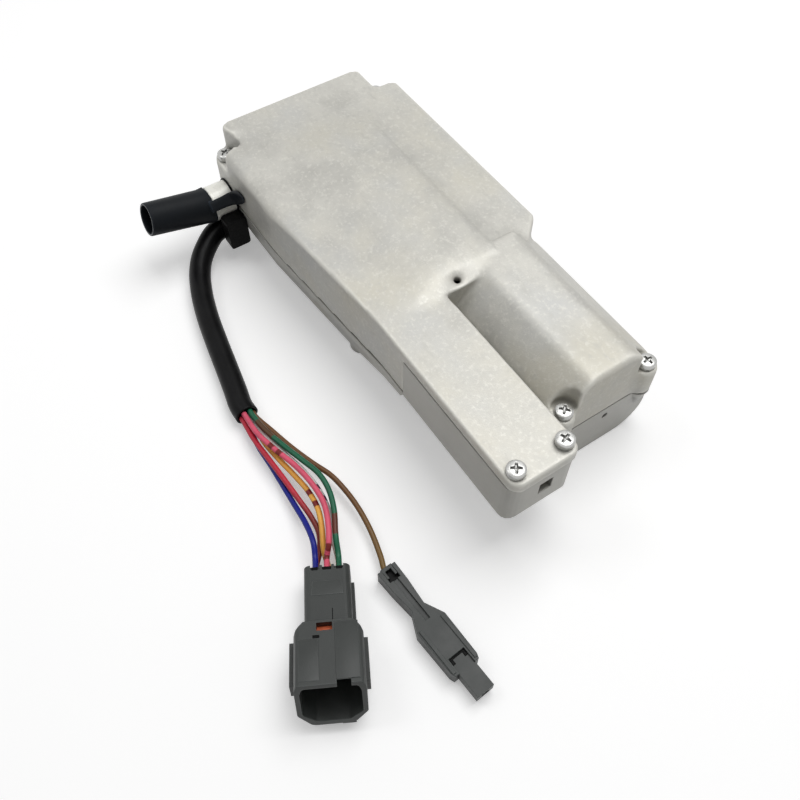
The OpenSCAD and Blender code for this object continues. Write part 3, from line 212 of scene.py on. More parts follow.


# Cast aluminium with a blasted skin, cloudy patches and specks, painted highlights on its edges and ridges,
# and painted shade in its hollows
def cast_metal(name, color, rough, seed):
    m, tree, bsdf = new_material(name)
    cloud = noise(tree, 26 + seed, 6, 0.68)
    patch = noise(tree, 13 + seed * 0.3, 4, 0.6)
    speck = noise(tree, 520, 3, 0.75)
    tint = noise(tree, 19 + seed, 3, 0.55, stretch=(1.0, 1.3, 1.0))
    scuff = noise(tree, 90, 5, 0.7, stretch=(0.5, 1.6, 1.0))
    spot = noise(tree, 340 + 9 * seed, 3, 0.7)
    geo = tree.nodes.new("ShaderNodeNewGeometry")
    col = ramp(tree, cloud, [(0.3, shade(color, 0.8)), (0.5, color), (0.7, shade(color, 1.12))])
    # Each layer: where it starts and is full, its most and its colour
    for layer, lo, hi, most, over in (
            (patch, 0.44, 0.62, 0.85, tinted(color, (0.96, 0.94, 0.88))),
            (tint, 0.48, 0.68, 0.8, tinted(color, (0.9, 0.92, 0.97))),
            (scuff, 0.58, 0.72, 0.5, shade(color, 0.76)),
            (speck, 0.52, 0.66, 0.5, shade(color, 1.22)),
            (spot, 0.54, 0.68, 0.4, shade(color, 0.82))):
        col = mix(tree, remap(tree, layer, lo, hi, 0.0, most), col, over)
    # Painted highlight along the edges and on convex ridges
    col = mix(tree, edge_mask(tree, 0.0014, 0.3), col, shade(color, 1.12))
    ridge_highlight = remap(tree, geo.outputs["Pointiness"], 0.508, 0.535, 0.0, 0.75)
    col = mix(tree, ridge_highlight, col, shade(color, 1.3))
    # Painted shade in creases and recesses
    col = mix(tree, hollows(tree, 0.004), col, shade(color, 0.4))
    tree.links.new(col, bsdf.inputs["Base Color"])
    tree.links.new(remap(tree, cloud, 0.3, 0.7, rough - 0.09, rough + 0.1), bsdf.inputs["Roughness"])
    bsdf.inputs["Metallic"].default_value = 0.4
    sand = noise(tree, 2300, 2, 0.6)
    wave = noise(tree, 70, 3, 0.5)
    waved = bump(tree, wave, 0.0003, 0.7, rounding(tree, CAST_ROUNDING))
    tree.links.new(bump(tree, sand, CAST_GRAIN, 1.0, waved), bsdf.inputs["Normal"])
    return m


MAT = {
    "cast_cover": cast_metal("cast_cover", (0.565, 0.555, 0.512), 0.48, 0),
    # The body's copy is darker, painted shade for its side walls
    "cast_body": cast_metal("cast_body", (0.36, 0.354, 0.328), 0.46, 4),
}
# Colour, roughness, metal, mottle, grain
PLAIN = {
    "zinc": ((0.5, 0.5, 0.485), 0.3, 0.8, (300, 0.1), (2500, 0.00001)),
    "motor_steel": ((0.6, 0.6, 0.6), 0.35, 0.9, (80, 0.08), (1800, 0.00001)),
    "brush_card": ((0.16, 0.12, 0.09), 0.6, 0.0, (120, 0.15), (900, 0.00003)),
    "ferrite": ((0.1, 0.1, 0.1), 0.55, 0.3, (90, 0.2), (1200, 0.00003)),
    "bronze": ((0.62, 0.45, 0.22), 0.4, 0.9, (150, 0.12), (1600, 0.00002)),
    "steel": ((0.62, 0.62, 0.62), 0.3, 0.95, (140, 0.08), (2200, 0.00001)),
    "copper": ((0.72, 0.38, 0.2), 0.35, 0.9, (200, 0.15), (1200, 0.00004)),
    "spider": ((0.08, 0.08, 0.08), 0.7, 0.0, (150, 0.15), (1500, 0.00003)),
    "brass": ((0.75, 0.58, 0.28), 0.33, 0.95, (110, 0.1), (1800, 0.00001)),
    "black_plastic": ((0.035, 0.035, 0.036), 0.5, 0.0, (110, 0.2), (1600, 0.00003)),
    "board": ((0.03, 0.16, 0.07), 0.35, 0.0, (160, 0.12), (1200, 0.00002)),
    "can_metal": ((0.7, 0.7, 0.72), 0.3, 0.8, (90, 0.08), (1500, 0.00001)),
    "orange_plastic": ((0.62, 0.12, 0.04), 0.45, 0.0, (120, 0.12), (1300, 0.00003)),
    "zinc_stub": ((0.96, 0.95, 0.88), 0.3, 0.05, (120, 0.08), (1500, 0.00003)),
    "boot_rubber": ((0.0045, 0.006, 0.008), 0.5, 0.0, (55, 0.3), (1400, 0.00004)),
    "cut_rubber": ((0.15, 0.155, 0.16), 0.6, 0.0, (300, 0.2), (1400, 0.00004)),
    "grommet": ((0.003, 0.003, 0.003), 0.42, 0.0, (55, 0.3), (900, 0.0001)),
    "plug_grey": ((0.038, 0.042, 0.04), 0.45, 0.0, (90, 0.12), (1900, 0.00003)),
    "tin": ((0.24, 0.23, 0.2), 0.4, 0.7, (200, 0.08), (1500, 0.00001)),
    "orange_rubber": ((0.5, 0.12, 0.05), 0.6, 0.0, (120, 0.12), (1300, 0.00003)),
}
# What differs from the plain material's other values, among them the reach of the painted shade in the
# screws' recesses and the plug's mouth
EXTRA = {
    "zinc": {"edge": 0.0002, "rough_spread": 0.06, "painted_shade_reach": 0.0014},
    "steel": {"edge": 0.0002},
    "brass": {"edge": 0.0002},
    "board": {"coat": 0.4},
    "zinc_stub": {"edge": 0.0006},
    "boot_rubber": {"edge": 0.0008, "rough_spread": 0.08, "spec": 0.14, "edge_lightening": 6.0},
    "cut_rubber": {"edge": 0.0003, "rough_spread": 0.08},
    "grommet": {"edge": 0.0008, "rough_spread": 0.08, "spec": 0.08},
    "plug_grey": {"edge": 0.0005, "rough_spread": 0.08, "spec": 0.4, "edge_lightening": 1.6, "painted_shade_reach": 0.013},
    "tin": {"edge": 0.0001},
}
for name, look in PLAIN.items():
    MAT[name] = surface(name, *look, **EXTRA.get(name, {}))


# Cords: the same points as the solids, in millimetres, run through one smooth line
SHEATH = [(-44.7, -53.5, 11.9), (-44.7, -57, 11.9), (-43.6, -62.5, 11.6), (-39.9, -68.8, 10),
          (-35, -74.6, 8), (-28, -79.4, 6.5), (-17, -84, 5.6), (-3, -88, 5.4), (13, -91.3, 5.4),
          (29, -94.2, 5.4), (42, -96.6, 5.4), (51, -98.4, 5.4), (57, -98.4, 5.4)]
LEADS = {
    "blue": [(57, -99.9, 2.9), (60, -99.9, 2.9), (72, -101.5, 3), (84, -101.6, 3.5), (96, -102.1, 4.2),
             (107, -102.6, 5.2), (117, -103.3, 7.4), (127, -105.2, 9.6)],
    "red": [(57, -101.3, 5.6), (60, -101.3, 5.6), (70, -101.9, 6.4), (82, -101.4, 7), (94, -100.7, 7),
            (106, -100.1, 6.4), (115, -99.7, 5.6), (123, -100.6, 5), (129.8, -104.6, 3.6)],
    "yellow": [(57, -97.1, 2.9), (60, -97.1, 2.9), (72, -98.6, 4.4), (84, -97.9, 6.7), (96, -96.2, 7.6),
               (106, -95.3, 8.4), (115, -96.1, 8.8), (123, -99, 8.6), (131, -103, 6.4)],
    "pink": [(57, -99.7, 8), (60, -99.7, 8), (70, -99.8, 9.3), (82, -97.4, 10.3), (94, -94.3, 11.2),
             (106, -92.9, 12), (116, -93.5, 12), (125, -96.9, 12), (132, -101, 11.2)],
    "green": [(57, -96.9, 7.9), (60, -96.9, 7.9), (70, -96, 8.6), (82, -93.3, 9.5), (93, -90.3, 10.3),
              (102.5, -88, 11), (111, -88.4, 11), (120, -91.3, 11), (130, -96.6, 10.6)],
    "white": [(57, -98.4, 5.4), (60, -98.4, 5.4), (71, -97, 6.4), (83, -94.8, 7.2), (95, -92.4, 8),
              (107, -91.3, 7.8), (117, -92.5, 7), (126, -96.4, 5.6)],
    "brown": [(57, -95.6, 5.4), (60, -95.6, 5.4), (70, -93.2, 5.4), (82, -90.3, 5.6), (94, -86.6, 6),
              (103, -83.2, 5.9), (111, -81.8, 5.5), (121, -81.3, 5), (133, -82.4, 4.6), (145.3, -85.2, 4.4),
              (149.8, -86.7, 4.3), (151.3, -86.6, 4.3)],
}
# The plug lies tilted on its tail's end and its shroud's rear edge, since the tail's underside is
# PLUG_LOW above the shroud's over the length PLUG_TAIL, in millimetres
PLUG_AT = (142.6, -107.95)
PLUG_YAW = math.radians(-28.4)
PLUG_LOW = 5.5
PLUG_TAIL = 26.3
PLUG_TILT = math.atan(PLUG_LOW / PLUG_TAIL)
PLUG_DROP = PLUG_LOW * math.cos(PLUG_TILT) - 0.05
PLUG_TAIL_HEIGHT = 13.4
PLUG_MID = PLUG_LOW + PLUG_TAIL_HEIGHT / 2
# Place of each lead's cavity, across the plug and up from its middle
CAVITY = {"blue": (-4.6, 2.9), "pink": (0, 2.9), "green": (4.6, 2.9),
          "red": (-4.6, -2.9), "yellow": (0, -2.9), "white": (4.6, -2.9)}


# From the plug's own millimetres, its tail at x = 0, to the part's
def plug_point(x, y, z):
    fx = x * math.cos(PLUG_TILT) - z * math.sin(PLUG_TILT)
    fz = x * math.sin(PLUG_TILT) + z * math.cos(PLUG_TILT)
    return (PLUG_AT[0] + fx * math.cos(PLUG_YAW) - y * math.sin(PLUG_YAW),
            PLUG_AT[1] + fx * math.sin(PLUG_YAW) + y * math.cos(PLUG_YAW), fz - PLUG_DROP)


for key, (y, dz) in CAVITY.items():
    LEADS[key] += [plug_point(-6, y, PLUG_MID + dz), plug_point(0, y, PLUG_MID + dz)]


# Smooth line in metres through points in millimetres, with so many steps between two of them
def smooth_path(points, per):
    pts = [Vector(p) / 1000 for p in points]
    ext = [2 * pts[0] - pts[1]] + pts + [2 * pts[-1] - pts[-2]]
    out = []
    for i in range(1, len(ext) - 2):
        p0, p1, p2, p3 = ext[i - 1:i + 3]
        t = [0.0]
        for a, b in ((p0, p1), (p1, p2), (p2, p3)):
            t.append(t[-1] + max((b - a).length, 1e-6) ** 0.5)
        for k in range(per):
            u = t[1] + (t[2] - t[1]) * k / per
            a1 = p0.lerp(p1, (u - t[0]) / (t[1] - t[0]))
            a2 = p1.lerp(p2, (u - t[1]) / (t[2] - t[1]))
            a3 = p2.lerp(p3, (u - t[2]) / (t[3] - t[2]))
            b1 = a1.lerp(a2, (u - t[0]) / (t[2] - t[0]))
            b2 = a2.lerp(a3, (u - t[1]) / (t[3] - t[1]))
            out.append(b1.lerp(b2, (u - t[1]) / (t[2] - t[1])))
    out.append(pts[-1])
    return out


# Least height of a cord above the table, in metres
ABOVE_TABLE = 0.00005


# Angles of a circle's points
def around(count):
    return [2 * math.pi * k / count for k in range(count)]


# Tube along a path, with its length in metres kept in the UV map. An inner radius hollows its ends
def tube(name, path, radius, sides, inner=0.0):
    bm = bmesh.new()
    uv = bm.loops.layers.uv.new("UVMap")
    rings, marks, along = [], [], 0.0
    up = Vector((0, 0, 1))
    for i, p in enumerate(path):
        d = (path[min(i + 1, len(path) - 1)] - path[max(i - 1, 0)]).normalized()
        side = d.cross(up).normalized()
        top = side.cross(d).normalized()
        ring = []
        for a in around(sides):
            q = p + side * math.cos(a) * radius + top * math.sin(a) * radius
            q.z = max(q.z, ABOVE_TABLE)
            ring.append(bm.verts.new(q))
        if i:
            along += (p - path[i - 1]).length
        rings.append(ring)
        marks.append(along)
    for i in range(len(rings) - 1):
        for k in range(sides):
            j = (k + 1) % sides
            f = bm.faces.new((rings[i][k], rings[i + 1][k], rings[i + 1][j], rings[i][j]))
            f.smooth = True
            spots = ((marks[i], k), (marks[i + 1], k), (marks[i + 1], k + 1), (marks[i], k + 1))
            for loop, (u, v) in zip(f.loops, spots):
                loop[uv].uv = (u, v / sides)
    for ring, path_i, turn in ((rings[0], 0, 1), (rings[-1], len(path) - 1, -1)):
        if inner:
            d = (path[1] - path[0]) if path_i == 0 else (path[-2] - path[-1])
            d.normalize()
            mid = path[path_i]
            lip = [bm.verts.new(mid + (v.co - mid) * (inner / radius)) for v in ring]
            deep = [bm.verts.new(v.co + d * radius * 1.2) for v in lip]
            for k in range(sides):
                j = (k + 1) % sides
                for a, b in ((ring, lip), (lip, deep)):
                    quad = (a[k], a[j], b[j], b[k]) if turn > 0 else (a[j], a[k], b[k], b[j])
                    bm.faces.new(quad)
            bm.faces.new(deep if turn < 0 else deep[::-1])
        else:
            bm.faces.new(ring[::-1] if turn < 0 else ring)
    bmesh.ops.recalc_face_normals(bm, faces=bm.faces)
    mesh = bpy.data.meshes.new(name)
    bm.to_mesh(mesh)
    bm.free()
    obj = bpy.data.objects.new(name, mesh)
    scene.collection.objects.link(obj)
    return obj


# Lead insulation: bands are their start, end and colour, and fade is where the colour starts to
# change, where it has changed, and what it changes to, all along the lead in metres
def lead_material(name, color, bands=(), fade=None):
    m, tree, bsdf = new_material(name)
    uvn = tree.nodes.new("ShaderNodeUVMap")
    uvn.uv_map = "UVMap"
    sep = tree.nodes.new("ShaderNodeSeparateXYZ")
    tree.links.new(uvn.outputs[0], sep.inputs[0])
    wob = noise(tree, 700, 2)
    ragged = math_node(tree, "MULTIPLY", math_node(tree, "SUBTRACT", wob, 0.5), 0.0012)
    along = math_node(tree, "ADD", sep.outputs[0], ragged)
    soft = noise(tree, 160, 3)
    col = ramp(tree, soft, [(0.3, shade(color, 0.86)), (0.55, color), (0.8, shade(color, 1.1))])
    if fade:
        col = mix(tree, remap(tree, along, fade[0], fade[1]), col, fade[2])
    for start, end, band in bands:
        a = remap(tree, along, start - BAND_BLUR, start + BAND_BLUR)
        b = remap(tree, along, end - BAND_BLUR, end + BAND_BLUR, 1.0, 0.0)
        col = mix(tree, math_node(tree, "MULTIPLY", a, b), col, band)
    tree.links.new(col, bsdf.inputs["Base Color"])
    uneven = remap(tree, soft, 0.3, 0.7, LEAD_ROUGH - 0.06, LEAD_ROUGH + 0.1)
    tree.links.new(uneven, bsdf.inputs["Roughness"])
    fine = noise(tree, 1200, 2)
    tree.links.new(bump(tree, fine, 0.00002), bsdf.inputs["Normal"])
    bsdf.inputs["Specular IOR Level"].default_value = 0.3
    return m


BAND_BLUR = 0.0003
LEAD_ROUGH = 0.32
DARK_RED = (0.2, 0.012, 0.01)
MAROON = (0.05, 0.01, 0.04)
LEAD_COLOR = {"blue": (0.004, 0.012, 0.27), "red": (0.6, 0.03, 0.06), "yellow": (0.98, 0.5, 0.09),
              "pink": (0.85, 0.12, 0.2), "green": (0.012, 0.14, 0.07), "white": (0.8, 0.79, 0.76),
              "brown": (0.17, 0.075, 0.025)}
BANDS = {
    "yellow": [(0.0492, 0.0518, DARK_RED), (0.0552, 0.0578, DARK_RED)],
    "pink": [(0.0215, 0.0243, DARK_RED), (0.0265, 0.0292, DARK_RED),
             (0.0772, 0.0797, DARK_RED), (0.0817, 0.0842, DARK_RED)],
    "green": [(0.007, 0.0185, (0.1, 0.05, 0.02)), (0.0665, 0.0752, (0.12, 0.03, 0.015))],
    "white": [(0.0488, 0.0513, MAROON), (0.0546, 0.0571, MAROON)],
}
FADES = {"red": (0.045, 0.06, (0.24, 0.03, 0.02)), "brown": (0.06, 0.1, (0.21, 0.125, 0.03))}
LEAD_LOOK = {key: lead_material("lead_" + key, color, BANDS.get(key, ()), FADES.get(key))
             for key, color in LEAD_COLOR.items()}

sheath_mat, tree, bsdf = new_material("sheath")
soft = noise(tree, 90, 4, 0.6)
black = ramp(tree, soft, [(0.3, (0.003, 0.003, 0.0035)), (0.7, (0.008, 0.008, 0.0085))])
tree.links.new(black, bsdf.inputs["Base Color"])
tree.links.new(remap(tree, soft, 0.3, 0.7, 0.28, 0.44), bsdf.inputs["Roughness"])
tree.links.new(bump(tree, noise(tree, 260, 3, 0.6), 0.00012), bsdf.inputs["Normal"])
bsdf.inputs["Specular IOR Level"].default_value = 0.1
MAT["sheath"] = sheath_mat

SHEATH_RADIUS, SHEATH_BORE, LEAD_RADIUS = 0.00525, 0.0045, 0.0012
SHEATH_STEPS, LEAD_STEPS = 8, 6
sheath_path = smooth_path(SHEATH, SHEATH_STEPS)
sheath = tube("sheath_tube", sheath_path, SHEATH_RADIUS, 32, inner=SHEATH_BORE)
sheath.data.materials.append(sheath_mat)
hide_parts("harness_sheath")
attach(sheath, "housing")
plug_parts = [nodes[n] for n in ("plug_housing", "plug_body", "plug_retainer", "plug_pins", "plug_seals")]
tab_parts = [nodes[n] for n in ("tab_holder", "tab_nose", "tab_terminal")]
for key, points in LEADS.items():
    path = smooth_path(points, LEAD_STEPS)
    lead = tube("lead_tube_" + key, path, LEAD_RADIUS, 16)
    lead.data.materials.append(LEAD_LOOK[key])
    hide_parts("lead_" + key)
    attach(lead, "housing")

# Materials of the carried-over nodes, by their slots
slot_of = {s["node"]: s["material_slot"] for s in frame["record"]["subparts"]}
for name, obj in nodes.items():
    key = slot_of.get(name, "steel")
    if name == "harness_grommet":
        key = "grommet"
    if key not in MAT:
        continue
    obj.data.materials.clear()
    obj.data.materials.append(MAT[key])


# A bmesh made into a piece, with its material and body
def link(name, bm, material, body, smooth_angle=35):
    bmesh.ops.recalc_face_normals(bm, faces=bm.faces)
    mesh = bpy.data.meshes.new(name)
    bm.to_mesh(mesh)
    bm.free()
    for f in mesh.polygons:
        f.use_smooth = True
    mesh.set_sharp_from_angle(angle=math.radians(smooth_angle))
    mesh.materials.append(MAT[material])
    obj = bpy.data.objects.new(name, mesh)
    scene.collection.objects.link(obj)
    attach(obj, body)
    return obj


# Separate solids of one node, as lists of points
def solids_of(node):
    mesh = nodes[node].data
    keys = {}
    owner = list(range(len(mesh.vertices)))

    def find(i):
        while owner[i] != i:
            owner[i] = owner[owner[i]]
            i = owner[i]
        return i

    for v in mesh.vertices:
        key = tuple(round(c, 6) for c in v.co)
        if key in keys:
            owner[find(v.index)] = find(keys[key])
        else:
            keys[key] = v.index
    for e in mesh.edges:
        a, b = (find(i) for i in e.vertices)
        owner[a] = b
    groups = {}
    for v in mesh.vertices:
        groups.setdefault(find(v.index), []).append(v.co.copy())
    return list(groups.values())


# Domed screw head with a cross recess, on its plain shank. The recess is stated in shares of the
# head's radius and height
def screw_piece(bm, centre, z_low, z_seat, z_top, head_r, shank_r, turn):
    segs, h = 96, z_top - z_seat
    arm, half, depth = head_r * 0.62, head_r * 0.135, h * 0.62
    radii = [head_r * i / 26 for i in range(1, 25)]
    bottom = [(head_r * 0.985, 0.86), (head_r, 0.7), (head_r, 0.12), (head_r * 0.975, 0.0)]

    def height(x, y):
        r = math.hypot(x, y) / head_r
        z = h * (1 - 0.2 * r * r - (0.1 * max(0, (r - 0.75) / 0.25) ** 2))
        c, s = math.cos(turn), math.sin(turn)
        a, b = abs(x * c + y * s), abs(-x * s + y * c)
        cut = 0.0
        for u, v in ((a, b), (b, a)):
            wide = half * (1.35 - 0.55 * u / arm)
            if u < arm and v < wide:
                side = min(1, (wide - v) / (half * 0.3))
                end = min(1, (arm - u) / (head_r * 0.16))
                cut = max(cut, depth * (0.45 + 0.55 * (1 - u / arm)) * min(side, end))
        return z - cut

    def ring(r, z_at):
        spots = [(r * math.cos(t), r * math.sin(t)) for t in around(segs)]
        return [bm.verts.new((centre.x + x, centre.y + y, z_at(x, y))) for x, y in spots]

    mid = bm.verts.new((centre.x, centre.y, z_seat + height(0, 0)))
    rings = [ring(r, lambda x, y: z_seat + height(x, y)) for r in radii]
    rings += [ring(r, lambda x, y, up=up: z_seat + h * up * 0.8) for r, up in bottom]
    rings += [ring(shank_r, lambda x, y, z=z: z) for z in (z_seat, z_low)]
    for k in range(segs):
        bm.faces.new((mid, rings[0][k], rings[0][(k + 1) % segs]))
        for a, b in zip(rings, rings[1:]):
            bm.faces.new((a[k], b[k], b[(k + 1) % segs], a[(k + 1) % segs]))
    bm.faces.new(rings[-1][::-1])


# Split spring washer, its two ends a little apart in height
def washer_piece(bm, centre, z_low, z_top, outer, inner, turn):
    segs, gap = 60, math.radians(9)
    lift = (z_top - z_low) * 0.12
    rings = []
    for k in range(segs + 1):
        t = turn + gap / 2 + (2 * math.pi - gap) * k / segs
        rise = lift * (k / segs - 0.5)
        ring = []
        for r, z in ((inner, z_low), (outer, z_low), (outer, z_top), (inner, z_top)):
            zz = min(max(z + rise, z_low), z_top)
            ring.append(bm.verts.new((centre.x + r * math.cos(t), centre.y + r * math.sin(t), zz)))
        rings.append(ring)
    for a, b in zip(rings, rings[1:]):
        for k in range(4):
            bm.faces.new((a[k], b[k], b[(k + 1) % 4], a[(k + 1) % 4]))
    bm.faces.new(rings[0])
    bm.faces.new(rings[-1][::-1])


def middle(points):
    return Vector(((min(p.x for p in points) + max(p.x for p in points)) / 2,
                   (min(p.y for p in points) + max(p.y for p in points)) / 2, 0))


# Each solid of a node with its number and its middle, in one fixed order
def in_order(node):
    groups = sorted(solids_of(node), key=lambda g: (middle(g).x, middle(g).y))
    return [(i, pts, middle(pts)) for i, pts in enumerate(groups)]


bm = bmesh.new()
for i, pts, c in in_order("cover_screws"):
    wide = max((p - c).to_2d().length for p in pts)
    head = [p.z for p in pts if (p - c).to_2d().length > wide * 0.95]
    low = min(p.z for p in pts)
    shank = max((p - c).to_2d().length for p in pts if p.z < low + 0.0005)
    screw_piece(bm, c, low, min(head), max(p.z for p in pts), wide, shank, 0.5 + 0.9 * i)
screws = link("cross_screws", bm, "zinc", "housing", 28)
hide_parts("cover_screws")
bm = bmesh.new()
for i, pts, c in in_order("spring_washers"):
    spans = [(p - c).to_2d().length for p in pts]
    washer_piece(bm, c, min(p.z for p in pts), max(p.z for p in pts), max(spans), min(spans), 1.9 * i)
washers = link("split_washers", bm, "zinc", "housing")
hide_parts("spring_washers")


# Width over which a smoothed region fades out, in metres
REGION_BLEND = 0.004


# Even mesh over a node's solid, with its edges relaxed. Each region is the number of its further
# passes, which smooth its heights only, and its two corners
def relaxed(name, node, voxel, passes, regions):
    src = bpy.data.objects.new(name + "_source", nodes[node].data.copy())
    scene.collection.objects.link(src)
    mod = src.modifiers.new("even", "REMESH")
    mod.mode = "VOXEL"
    mod.voxel_size = voxel
    graph = bpy.context.evaluated_depsgraph_get()
    mesh = bpy.data.meshes.new_from_object(src.evaluated_get(graph))
    bpy.data.objects.remove(src)
    n = len(mesh.vertices)
    co = np.empty(n * 3)
    mesh.vertices.foreach_get("co", co)
    co = co.reshape(-1, 3)
    lo, hi = co.min(0), co.max(0)
    ends = np.empty(len(mesh.edges) * 2, int)
    mesh.edges.foreach_get("vertices", ends)
    a, b = ends.reshape(-1, 2).T
    count = np.maximum(np.bincount(a, minlength=n) + np.bincount(b, minlength=n), 1)

    def mean(v):
        return (np.bincount(a, v[b], n) + np.bincount(b, v[a], n)) / count

    for _ in range(passes):
        co += 0.5 * (np.stack([mean(co[:, i]) for i in range(3)], 1) - co)
    for soft_passes, (x0, y0, z0), (x1, y1, z1) in regions:
        inside = ((co[:, 2] > z0) & (co[:, 2] < z1)).astype(float)
        for v, low, high in ((co[:, 0], x0, x1), (co[:, 1], y0, y1)):
            inside *= np.clip((v - low) / REGION_BLEND, 0, 1) * np.clip((high - v) / REGION_BLEND, 0, 1)
        for _ in range(soft_passes):
            co[:, 2] += 0.5 * inside * (mean(co[:, 2]) - co[:, 2])
    co = np.clip(co, lo, hi)
    mesh.vertices.foreach_set("co", co.ravel())
    mesh.update()
    for f in mesh.polygons:
        f.use_smooth = True
    mesh.materials.clear()
    mesh.materials.append(MAT["cast_cover"])
    obj = bpy.data.objects.new(name, mesh)
    scene.collection.objects.link(obj)
    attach(obj, "housing")
    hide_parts(node)
    return obj


# The pad's flanks and the slopes beside it and in front of it
relaxed("cover_skin", "top_cover", voxel=0.001, passes=3, regions=[
    (240, (-0.056, -0.042, 0.0533), (0.069, 0.017, 0.0585)),
    (90, (-0.045, 0.008, 0.0533), (0.07, 0.036, 0.0585)),
    (110, (0.058, -0.034, 0.0533), (0.0815, 0.014, 0.0585)),
    (14, (0.072, -0.034, 0.0533), (0.088, 0.004, 0.0585))])


def mm(x, y, z):
    return Vector((x, y, z)) / 1000


# Skin over rows of points, each row closed, and the last row joined to the first when wrapped
def grid(bm, rows, wrap=False):
    made = [[bm.verts.new(p) for p in row] for row in rows]
    pairs = list(zip(made, made[1:])) + ([(made[-1], made[0])] if wrap else [])
    for a, b in pairs:
        for k in range(len(a)):
            j = (k + 1) % len(a)
            bm.faces.new((a[k], b[k], b[j], a[j]))
    return made


# Rubber boot on the cable outlet: a tube tilted upwards, with a strap back to the wall. Lengths are
# in millimetres, and the strap's place round the tube is in degrees
OUTLET_X, OUTLET_Z = -48, 26
OUTLET_SIDES = 96
BOOT_PIVOT = -61
BOOT_LEN = 31.5
BOOT_BEND = math.radians(13)
BOOT_FULL = BOOT_LEN + 1 / math.cos(BOOT_BEND)
STRAP_AT = 40


# Soft hump of 1 about an angle
def hump(off, at, wide):
    return math.exp(-((off - at) / wide) ** 2)


def boot_point(s, radius, angle):
    up = radius * math.cos(angle)
    run = s - 1 / math.cos(BOOT_BEND)
    return mm(OUTLET_X + radius * math.sin(angle),
              BOOT_PIVOT - run * math.cos(BOOT_BEND) + up * math.sin(BOOT_BEND),
              OUTLET_Z + run * math.sin(BOOT_BEND) + up * math.cos(BOOT_BEND))


# Ring at a share of the boot's length, 0 at the wall. Its rear edge reaches back at the strap
def boot_ring(depth, radius, lip=0.0):
    ring = []
    for a in around(OUTLET_SIDES):
        off = (math.degrees(a) - STRAP_AT + 180) % 360 - 180
        edge = radius * math.cos(a) * math.tan(BOOT_BEND)
        edge += -2.2 * hump(off, 0, 13) + 0.3 * hump(off, -70, 16)
        nub = lip * hump(off, -78, 13)
        ring.append(boot_point(edge * (1 - depth) + BOOT_FULL * depth, radius + nub, a))
    return ring


# Ring about the outlet's axis for each pair of place along y and radius
def outlet_rings(profile):
    return [[mm(OUTLET_X + r * math.sin(a), y, OUTLET_Z + r * math.cos(a)) for a in around(OUTLET_SIDES)]
            for y, r in profile]


bm = bmesh.new()
OUTER_STEPS, BORE_STEPS = 30, 12
BOOT_R, BOOT_TAPER, BOOT_BORE, BOOT_LIP = 8.45, 0.55, 6.75, 0.6
MOUTH = ((0.985, 7.88), (0.995, 7.8), (0.9985, 7.65), (0.9985, 6.95), (0.995, 6.8))
rows = [boot_ring(0.0, 8.15, 0.5), boot_ring(0.006, 8.4, BOOT_LIP)]
for k in range(OUTER_STEPS + 1):
    t = 0.02 + 0.955 * k / OUTER_STEPS
    rows.append(boot_ring(t, BOOT_R - BOOT_TAPER * t, BOOT_LIP * max(0, 1 - k / 3)))
rows += [boot_ring(d, r) for d, r in MOUTH]
rows += [boot_ring(0.97 - 0.93 * k / BORE_STEPS, BOOT_BORE) for k in range(BORE_STEPS + 1)]
rows += [boot_ring(0.0, 6.9)]
grid(bm, rows, wrap=True)
# Strap: a point of its middle line, half its width and half its thickness
STRAP = [((-40.6, -62.0, 30.9), 2.7, 1.1), ((-40.5, -58.5, 31.2), 2.7, 1.15),
         ((-40.2, -55.0, 31.6), 2.8, 1.2), ((-39.2, -51.8, 32.5), 3.1, 1.2),
         ((-36.6, -50.2, 34.5), 3.5, 1.1), ((-33.0, -49.7, 37.0), 3.3, 0.9),
         ((-29.9, -49.5, 39.0), 2.2, 0.7), ((-28.4, -49.4, 40.0), 0.7, 0.45)]
STRAP_STEPS = 4
across = Vector((0.64, 0, -0.77))
centre_line = smooth_path([q for q, half, thick in STRAP], STRAP_STEPS)
rows = []
for i, c in enumerate(centre_line):
    k = min(i // STRAP_STEPS, len(STRAP) - 2)
    u = i / STRAP_STEPS - k
    half = STRAP[k][1] * (1 - u) + STRAP[k + 1][1] * u
    thick = STRAP[k][2] * (1 - u) + STRAP[k + 1][2] * u
    d = (centre_line[min(i + 1, len(centre_line) - 1)] - centre_line[max(i - 1, 0)]).normalized()
    out = d.cross(across).normalized()
    ring = []
    for t in around(24):
        w, h = (math.copysign(abs(v) ** 0.7, v) for v in (math.cos(t), math.sin(t)))
        ring.append(c + across * half * w / 1000 + out * thick * h / 1000)
    rows.append(ring)
made = grid(bm, rows)
bm.faces.new(made[0])
bm.faces.new(made[-1][::-1])
boot = link("boot_tube", bm, "boot_rubber", "housing", 40)
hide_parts("outlet_boot")
bm = bmesh.new()
RIM = ((0.9965, 7.45), (0.9992, 7.5), (1.0, 7.35), (1.0, 6.95), (0.9992, 6.82), (0.9965, 6.85))
grid(bm, [boot_ring(d, r) for d, r in RIM], wrap=True)
link("boot_rim", bm, "cut_rubber", "housing", 40)

# Collar of the outlet, cream painted, with the spigot that the boot sits on
bm = bmesh.new()
COLLAR = [(-60.0, 5.0), (-60.0, 8.1), (-59.6, 8.5), (-54.6, 8.52), (-49.3, 8.5), (-48.6, 8.5),
          (-46.0, 8.45), (-40.5, 6.0), (-40.5, 3.4), (-50.0, 3.4), (-62.0, 3.4), (-62.0, 5.0)]
grid(bm, outlet_rings(COLLAR), wrap=True)
collar = link("outlet_collar", bm, "zinc_stub", "housing", 30)
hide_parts("outlet_stub")

# Dark ring where the collar meets the wall
bm = bmesh.new()
SEAL = [(-49.6, 8.5), (-49.7, 8.8), (-49.5, 9.1), (-48.9, 9.2), (-48.2, 9.1), (-48.2, 8.5)]
grid(bm, outlet_rings(SEAL), wrap=True)
link("outlet_seal", bm, "grommet", "housing", 40)

# Height of the plates' chamfer
CHAMFER = 0.12


